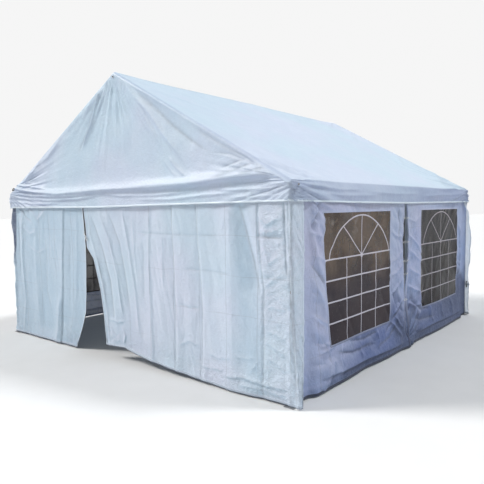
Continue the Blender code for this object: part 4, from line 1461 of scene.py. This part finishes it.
def add_wall(node, mesh, material, hem, finish):
    """Make a wall in the place of a node, and the hems sewn to it."""
    wall = add_piece(node + "_sheet", mesh, material, node, node)
    return wall, add_piece(node + "_hem", hem, finish, node)


class MARQUEE_OT_frame(bpy.types.Operator):
    """Finish the tubes in scuffed plated steel and the connectors in dull zinc; the middle legs get a
    near-black finish, painted shade for the dark side gaps
    """

    bl_idname = "marquee.frame"
    bl_label = "Frame"

    def execute(self, context):
        plated = metal_material("plated_tube", (0.33, 0.34, 0.36), 0.55, 0.38, 0.45)
        zinc = metal_material("zinc_steel", (0.48, 0.49, 0.51), 0.85, 0.36, 0.35)
        # A near-black finish for the middle legs: painted shade for the dark gaps between the side walls.
        painted_shade_finish = metal_material("painted_shade_tube", (0.045, 0.048, 0.055), 0.25, 0.60, 0.15)
        for name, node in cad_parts.items():
            if "connector" in name:
                node.material_slots[0].material = zinc
            elif name.startswith("leg_middle"):
                node.material_slots[0].material = painted_shade_finish
            elif name.startswith(("leg", "rafter", "eave_tube", "ridge_tube", "cross_bar")):
                node.material_slots[0].material = plated
        return {"FINISHED"}


class MARQUEE_OT_cover(bpy.types.Operator):
    """Make the cover as one sheet: roof slopes, gables and valances, with its sewn hem"""

    bl_idname = "marquee.cover"
    bl_label = "Cover"

    def execute(self, context):
        # Colour of the cover's painted shade.
        shade = (0.260, 0.325, 0.520)
        material = sheet_material("cover_sheet", sheets().cover_colour, 0.7, 0.0, shade)
        nodes = ["roof_slope_left", "roof_slope_right", "gable_front", "gable_rear"]
        cover = add_piece("roof_cover", cover_mesh(), material, "roof_slope_left", *nodes)
        around = 4 * (2 * LEG_X + COVER_TURN)
        route = straight((0.0, HEM + 0.011), (around, HEM + 0.011), 0.025)
        mesh = band_mesh([(route, 0.020)], cover_hem, 0.0022)
        hem = add_piece("cover_hem", mesh, hem_material("cover_hem", (0.66, 0.75, 0.84)), "gable_front")
        return {"FINISHED"}


class MARQUEE_OT_end_walls(bpy.types.Operator):
    """Make the two front walls beside the doorway and the closed rear wall"""

    bl_idname = "marquee.end_walls"
    bl_label = "End walls"

    def execute(self, context):
        colour = sheets().wall_colour
        # Colour of the front walls' painted shade.
        front_sheet = sheet_material("front_wall_sheet", colour, 1.0, shade=(0.445, 0.585, 0.715))
        # The rear wall's strips are painted lighter with this shade colour, and glow more: painted light.
        rear_sheet = sheet_material("rear_wall_sheet", colour, 1.0, 1.0, (0.86, 0.90, 0.94), 0.45)
        finish = hem_material("wall_hem", colour)
        left = grid_lines((-WALL_END, 0.009), (-2.40, 0.013), DOOR_SEAM_X - 0.0015)
        right = grid_lines((DOOR_SEAM_X + 0.0015, 0.012), (2.40, 0.007), WALL_END)
        self.add_front("front_wall_left", left, left[-1] - 0.013, front_sheet, finish)
        strip_hem = (upright(WALL_END - 0.012, 0.02), 0.024)
        self.add_front("front_wall_right", right, right[0] + 0.013, front_sheet, finish, strip_hem)
        self.add_rear(rear_sheet, finish)
        return {"FINISHED"}

    def add_front(self, node, p, edge, material, finish, *more_bands):
        """A front wall over the places p, with a hem up its edge at the doorway."""
        points, flat = wall_grid(front_surface, p, wall_heights(front_hem(p)[None, :], 136))
        mesh = sheet_mesh(points, flat, marks=front_marks(flat[..., 0], flat[..., 1]))
        foot = np.stack([p, front_hem(p) + 0.014], axis=1)
        bands = [(foot, 0.028), (upright(edge, float(front_hem(edge)) + 0.01), 0.026), *more_bands]
        wall, hem = add_wall(node, mesh, material, band_mesh(bands, front_surface, 0.0018), finish)

    def add_rear(self, material, finish):
        """The rear wall, with hems beside its strips and its closed zip."""
        p = grid_lines((-WALL_END, 0.010), (-2.40, 0.022), (2.40, 0.010), WALL_END)
        points, flat = wall_grid(rear_surface, p, wall_heights(FOOT_GAP, 104))
        mesh = sheet_mesh(points, flat, marks=rear_marks(flat[..., 0], flat[..., 1]))
        bands = [(np.stack([p, np.full(len(p), 0.027)], axis=1), 0.028)]
        bands += [(upright(x), 0.024) for x in (0.012 - WALL_END, WALL_END - 0.012)]
        bands += [(upright(x), 0.030) for x in (-0.021, 0.021)]
        wall, hem = add_wall("rear_wall", mesh, material, band_mesh(bands, rear_surface, 0.0018), finish)


class MARQUEE_OT_side_walls(bpy.types.Operator):
    """Make the four side walls, each with an opening for its window"""

    bl_idname = "marquee.side_walls"
    bl_label = "Side walls"

    def execute(self, context):
        # Colour of the side walls' painted shade.
        material = sheet_material("side_wall_sheet", sheets().shaded_side_colour, 1.25, shade=(0.25, 0.35, 0.61))
        # The side walls' hems are darkened far up with soil and painted shade, and near the ground their
        # whole width is a painted shadow line.
        finish = hem_material("side_wall_hem", sheets().shaded_side_colour, 0.92, 0.9, 0.022, 0.03)
        for side_name, side, half in BAYS:
            self.add_side_wall(side_name, side, half, material, finish)
        return {"FINISHED"}

    def add_side_wall(self, side_name, side, half, material, finish):
        """One side wall, with hems at its foot and both ends and round its window."""
        surface = side_surface(side)
        low_y, high_y, low_z, high_z = window_span(half)
        first, last = SIDE_WALL_ENDS[half]
        p = grid_lines((first, 0.0125), (low_y, 0.016), (high_y, 0.0125), last)
        z = grid_lines((WALL_TOP, 0.016), (high_z, 0.015), (low_z, 0.0125), FOOT_GAP)
        mid_p = (p[:-1] + p[1:]) / 2
        mid_z = (z[:-1] + z[1:]) / 2
        between = (mid_p > low_y) & (mid_p < high_y)
        keep = ~(between[None, :] & ((mid_z > low_z) & (mid_z < high_z))[:, None])
        points, flat = wall_grid(surface, p, z[:, None])
        mesh = sheet_mesh(points, flat, keep, side_marks(half, side, flat[..., 0], flat[..., 1]))
        bands = [(straight((first + 0.01, 0.027), (last - 0.01, 0.027)), 0.026)]
        inset = 0.046 if half == "rear" else 0.013
        bands += [(upright(y), 0.024) for y in (first + inset, last - 0.013)]
        rim = 0.010
        corners = [(low_y - rim, low_z - rim), (high_y + rim, low_z - rim),
                   (high_y + rim, high_z + rim), (low_y - rim, high_z + rim)]
        bands += [(straight(corners[k], corners[(k + 1) % 4]), 0.022) for k in range(4)]
        name = "side_wall_" + half + "_" + side_name
        wall, hem = add_wall(name, mesh, material, band_mesh(bands, surface, 0.0016), finish)


class MARQUEE_OT_windows(bpy.types.Operator):
    """Make the windows of smoky film with the bars of an arched window printed on them"""

    bl_idname = "marquee.windows"
    bl_label = "Windows"

    def execute(self, context):
        film = film_material()
        print_finish = bar_material()
        for side_name, side, half in BAYS:
            self.add_window(side_name, side_surface(side), half, film, print_finish)
        return {"FINISHED"}

    def add_window(self, side_name, wall_surface, half, film, print_finish):
        """One window, sewn behind the rim of its opening, with its printed bars."""

        def film_surface(along, height, lift=0.0):
            return wall_surface(along, height, lift - 0.0022)

        low_y, high_y, low_z, high_z = window_span(half)
        p = grid_lines((low_y - WINDOW_SEAM, 0.018), high_y + WINDOW_SEAM)
        z = grid_lines((high_z + WINDOW_SEAM, 0.018), low_z - WINDOW_SEAM)
        name = "window_" + half + "_" + side_name
        mesh = sheet_mesh(*wall_grid(film_surface, p, z[:, None]))
        pane = add_piece(name + "_film", mesh, film, name, name)
        mesh = band_mesh(window_bars(low_y, high_y, low_z, high_z), film_surface, 0.0012)
        bars = add_piece(name + "_bars", mesh, print_finish, name)


def window_bars(low_y, high_y, low_z, high_z):
    """The printed bars: an arch with three spokes over a lattice."""
    width = sheets().bar_width
    middle = (low_y + high_y) / 2 + 0.035
    spring = low_z + 0.86
    rise = high_z - spring - 0.033

    def arch(angle):
        return np.stack([middle - 0.68 * np.cos(angle), spring + rise * np.sin(angle) ** 1.35], axis=-1)

    bands = [(arch(np.linspace(0.0, math.pi, 61)), width)]
    for share in (0.0, 0.245, 0.50, 0.75):
        height = spring - (spring - low_z) * share
        bands.append((straight((low_y + 0.002, height), (high_y - 0.002, height)), width))
    for offset in (-0.335, 0.0, 0.345):
        bands.append((straight((middle + offset, low_z + 0.002), (middle + offset, spring)), width * 0.8))
    for angle in (54, 90, 126):
        bands.append((straight((middle, spring), arch(math.radians(angle))), width * 0.8))
    turn = np.linspace(0.0, math.tau, 17)
    knot = np.stack([middle + 0.020 * np.cos(turn), spring + 0.020 * np.sin(turn)], axis=1)
    bands.append((knot, width * 0.9))
    return bands


def ring(centre, across, up, radius_across, radius_up, steps=20):
    """A closed route round a centre in space."""
    across = Vector(across) * radius_across
    up = Vector(up) * radius_up
    angles = np.linspace(0.0, math.tau, steps + 1)
    route = [Vector(centre) + across * math.cos(angle) + up * math.sin(angle) for angle in angles]
    route[-1] = route[0].copy()
    return route


def ball_mesh(places, radius):
    """Small moulded balls with a flattened pole."""
    bm = bmesh.new()
    for place in places:
        made = bmesh.ops.create_uvsphere(bm, u_segments=16, v_segments=10, radius=radius)
        bmesh.ops.scale(bm, verts=made["verts"], vec=(1.0, 1.0, 0.88))
        bmesh.ops.translate(bm, verts=made["verts"], vec=place)
    mesh = bpy.data.meshes.new("balls")
    bm.to_mesh(mesh)
    bm.free()
    finish_mesh(mesh)
    return mesh


def surface_point(surface, p, q, lift=0.0):
    """One point in space on a surface."""
    place = (np.array([float(value)]) for value in (p, q, lift))
    return Vector([float(value[0]) for value in surface(*place)])


class MARQUEE_OT_fittings(bpy.types.Operator):
    """Make the loops across the side openings, the eyelets, the zips, the pull ring and the strap"""

    bl_idname = "marquee.fittings"
    bl_label = "Fittings"

    def execute(self, context):
        elastic = plastic_material("white_elastic", (0.72, 0.72, 0.74))
        dark = plastic_material("dark_plastic", (0.035, 0.037, 0.042), 0.4)
        white = plastic_material("white_plastic", (0.75, 0.76, 0.78), 0.35)
        steel = metal_material("eyelet_steel", (0.62, 0.63, 0.66), 0.6, 0.34, 0.2)
        self.add_loops("left", -1, elastic, white, steel)
        self.add_loops("right", 1, elastic, white, steel)
        self.add_zips(dark, white)
        self.add_cover_eyelets(dark, steel)
        self.add_strap(dark, elastic)
        return {"FINISHED"}

    def add_loops(self, side_name, side, elastic, white, steel):
        """The elastic loops with balls and eyelets that tie a side's two walls together."""
        surface = side_surface(side)
        loops = []
        balls = []
        eyes = []
        for height in LOOP_HEIGHTS:
            near = surface_point(surface, -0.050, height, 0.004)
            far = surface_point(surface, 0.050, height, 0.004)
            middle = (near + far) / 2
            middle.x = side * (SIDE_WALL_X + 0.008)
            reach = (far - near).length / 2 + 0.006
            loops.append(ring(middle, ALONG, UP, reach, 0.009))
            balls.append(middle + Vector((side * 0.004, reach - 0.004, 0.0)))
            for eye in (near, far):
                eyes.append(ring(eye - Vector((side * 0.003, 0, 0)), ALONG, UP, 0.0070, 0.0070))
        slot = "side_wall_front_" + side_name
        add_piece("wall_loops_" + side_name, tube_mesh(loops, 0.0024), elastic, slot)
        add_piece("loop_balls_" + side_name, ball_mesh(balls, 0.0060), white, slot)
        add_piece("wall_eyelets_" + side_name, tube_mesh(eyes, 0.0016), steel, slot)

    def add_zips(self, dark, white):
        """The doorway's zip, closed at the top and open below, and the rear wall's closed one."""
        heights = np.linspace(0.20, 1.90, 90)
        teeth = []
        for surface, u, lift in ((front_surface, DOOR_SEAM_X - 0.003, 0.0022),
                                 (front_surface, DOOR_SEAM_X + 0.003, 0.0022), (rear_surface, 0.0, 0.0030)):
            teeth.append(np.stack(surface(np.full(90, u), heights, np.full(90, lift)), axis=1))
        add_piece("zip_teeth", tube_mesh(teeth, 0.0030, 6), dark, "front_wall_left")
        slider = surface_point(front_surface, DOOR_SEAM_X, 1.515, 0.010)
        pull = surface_point(front_surface, DOOR_SEAM_X + 0.03, 1.44, 0.016)
        parts = [
            [slider + Vector((0, 0, 0.014)), slider - Vector((0, 0, 0.014))],
            ring(slider - Vector((0, 0, 0.020)), ACROSS, UP, 0.006, 0.010),
            ring(pull, ACROSS, (0, -0.3, 0.95), 0.019, 0.022),
            [slider - Vector((0, 0, 0.028)), pull + Vector((0, 0, 0.020))],
        ]
        add_piece("zip_pull", tube_mesh(parts, 0.0042, 10), white, "front_wall_left")

    def add_cover_eyelets(self, dark, steel):
        """Eyelets at the front peak and the right eave, and the dark corner loop at the left."""
        corner = surface_point(cover_hem, 2 * LEG_X + COVER_TURN + 0.05, EAVE - 0.035, 0.001)
        peak = Vector((0.0, -LEG_X - COVER_RADIUS - 0.004, RIDGE - 0.055))
        eyes = [ring(corner, ALONG, UP, 0.010, 0.010), ring(peak, ACROSS, UP, 0.010, 0.010)]
        add_piece("cover_eyelets", tube_mesh(eyes, 0.0030, 10), steel, "gable_front")
        add_piece("eyelet_knots", ball_mesh([corner, peak], 0.0078), dark, "gable_front")
        left = surface_point(cover_hem, 0.06, EAVE + 0.045, 0.004)
        loop = [ring(left, (0.9, 0, 0.4), (-0.3, 0, 0.9), 0.032, 0.012)]
        add_piece("corner_loop", tube_mesh(loop, 0.0055, 10), dark, "gable_front")

    def add_strap(self, dark, elastic):
        """The strap with a buckle that draws the rear wall's strip round the rear right leg."""
        u = LEG_X + WALL_TURN + 0.03
        buckle = [surface_point(rear_surface, u, height, 0.006) for height in (0.56, 0.46)]
        add_piece("strap_buckle", tube_mesh([buckle], 0.014, 8), dark, "rear_wall")
        bands = [(straight((LEG_X - 0.06, 0.51), (LEG_X + 0.20, 0.51)), 0.026)]
        add_piece("corner_strap", band_mesh(bands, rear_surface, 0.0030), elastic, "rear_wall")


class MARQUEE_OT_stage(bpy.types.Operator):
    """Make the plain floor, the soft lights and the camera"""

    bl_idname = "marquee.stage"
    bl_label = "Stage"

    def execute(self, context):
        stage = context.scene.marquee_stage
        self.add_floor(stage)
        warm = (1.0, 0.985, 0.96)
        cool = (0.95, 0.975, 1.0)
        lights = [
            ("key_light", "SUN", (-12.4, -8.0, 13.4), stage.key_strength, warm, {"angle": math.radians(16)}),
            ("fill_light", "SUN", (9.0, 7.0, 16.4), stage.fill_strength, cool, {"angle": math.radians(12)}),
            ("top_light", "AREA", (1.0, 1.0, 9.5), stage.top_power, cool, {"size": 9.0}),
        ]
        for light in lights:
            self.add_light(*light)
        context.scene.world = self.surroundings(stage)
        context.scene.view_settings.view_transform = "Standard"
        self.add_camera(context.scene, stage)
        return {"FINISHED"}

    def add_floor(self, stage):
        """A wide round floor just under the feet."""
        shader = Shader("pale_floor")
        speckle = shader.noise(shader.place(), 3.0, 4.0)
        colour = stage.floor_colour
        tone = shader.mix(shader.rise(speckle, 0.3, 0.7), rgba(colour), rgba(colour, 0.98))
        shader.set(Base_Color=tone, Roughness=0.85)
        radius = np.array([0.0, 4.0, 8.0, 16.0, 40.0, 90.0])[:, None]
        angle = np.linspace(0.0, math.tau, 49)
        plan = [radius * np.cos(angle), radius * np.sin(angle), -0.001]
        points = np.stack(np.broadcast_arrays(*plan), axis=-1)
        make_object("floor", sheet_mesh(points, points[..., :2]), shader.owner)

    def add_light(self, name, kind, place, energy, colour, settings):
        """A soft light that faces the middle of the tent."""
        light = bpy.data.lights.new(name, kind)
        light.energy = energy
        light.color = colour
        for key, value in settings.items():
            setattr(light, key, value)
        holder = bpy.data.objects.new(name, light)
        toward = Vector((0.0, 0.0, 1.2)) - Vector(place)
        turn = toward.to_track_quat("-Z", "Y").to_matrix().to_4x4()
        holder.matrix_world = Matrix.Translation(place) @ turn
        bpy.context.scene.collection.objects.link(holder)

    def surroundings(self, stage):
        """An even, pale light from all sides, dimmer overhead and behind the tent."""
        sky = Shader("pale_surroundings", surroundings=True)
        toward = sky.node("ShaderNodeTexCoord", output="Generated")
        pale = rgba((1.0, 1.0, 1.0), stage.sky_strength)
        dim = rgba((0.93, 0.97, 1.0), stage.sky_strength * 0.35)
        open_sky = sky.mix(sky.rise(sky.split(toward, 2), 0.38, 0.80), pale, dim)
        behind = sky.split(toward, 1) * 0.8 - sky.split(toward, 0) * 0.6
        sky.set(Color=sky.mix(sky.rise(behind, 0.10, 0.78), dim, open_sky))
        return sky.owner

    def add_camera(self, scene, stage):
        """The camera at the photograph's angle."""
        camera = bpy.data.cameras.new("camera")
        camera.lens = stage.camera_lens
        camera.shift_x = stage.camera_shift
        camera.clip_end = 300.0
        holder = bpy.data.objects.new("camera", camera)
        turn = Matrix.Rotation(stage.camera_turn, 4, "Z")
        tilt = Matrix.Rotation(math.pi / 2 - stage.camera_dip, 4, "X")
        roll = Matrix.Rotation(stage.camera_roll, 4, "Z")
        holder.matrix_world = Matrix.Translation(stage.camera_place) @ turn @ tilt @ roll
        scene.collection.objects.link(holder)
        scene.camera = holder


OPERATORS = (
    MARQUEE_OT_frame,
    MARQUEE_OT_cover,
    MARQUEE_OT_end_walls,
    MARQUEE_OT_side_walls,
    MARQUEE_OT_windows,
    MARQUEE_OT_fittings,
    MARQUEE_OT_stage,
)


class MARQUEE_PT_sheets(bpy.types.Panel):
    """The marquee's pieces and their settings"""

    bl_label = "Marquee"
    bl_idname = "MARQUEE_PT_sheets"
    bl_space_type = "VIEW_3D"
    bl_region_type = "UI"
    bl_category = "Marquee"

    def draw(self, context):
        column = self.layout.column()
        for group in (context.scene.marquee_sheets, context.scene.marquee_stage):
            for name in group.__annotations__:
                column.prop(group, name)
        for operator in OPERATORS:
            column.operator(operator.bl_idname)


CLASSES = (MarqueeSheets, MarqueeStage, *OPERATORS, MARQUEE_PT_sheets)


def register():
    for cls in CLASSES:
        bpy.utils.register_class(cls)
    bpy.types.Scene.marquee_sheets = PointerProperty(type=MarqueeSheets)
    bpy.types.Scene.marquee_stage = PointerProperty(type=MarqueeStage)


def unregister():
    del bpy.types.Scene.marquee_stage
    del bpy.types.Scene.marquee_sheets
    for cls in reversed(CLASSES):
        bpy.utils.unregister_class(cls)


def main():
    register()
    bpy.ops.marquee.frame()
    bpy.ops.marquee.cover()
    bpy.ops.marquee.end_walls()
    bpy.ops.marquee.side_walls()
    bpy.ops.marquee.windows()
    bpy.ops.marquee.fittings()
    bpy.ops.marquee.stage()


if __name__ == "__main__":
    main()
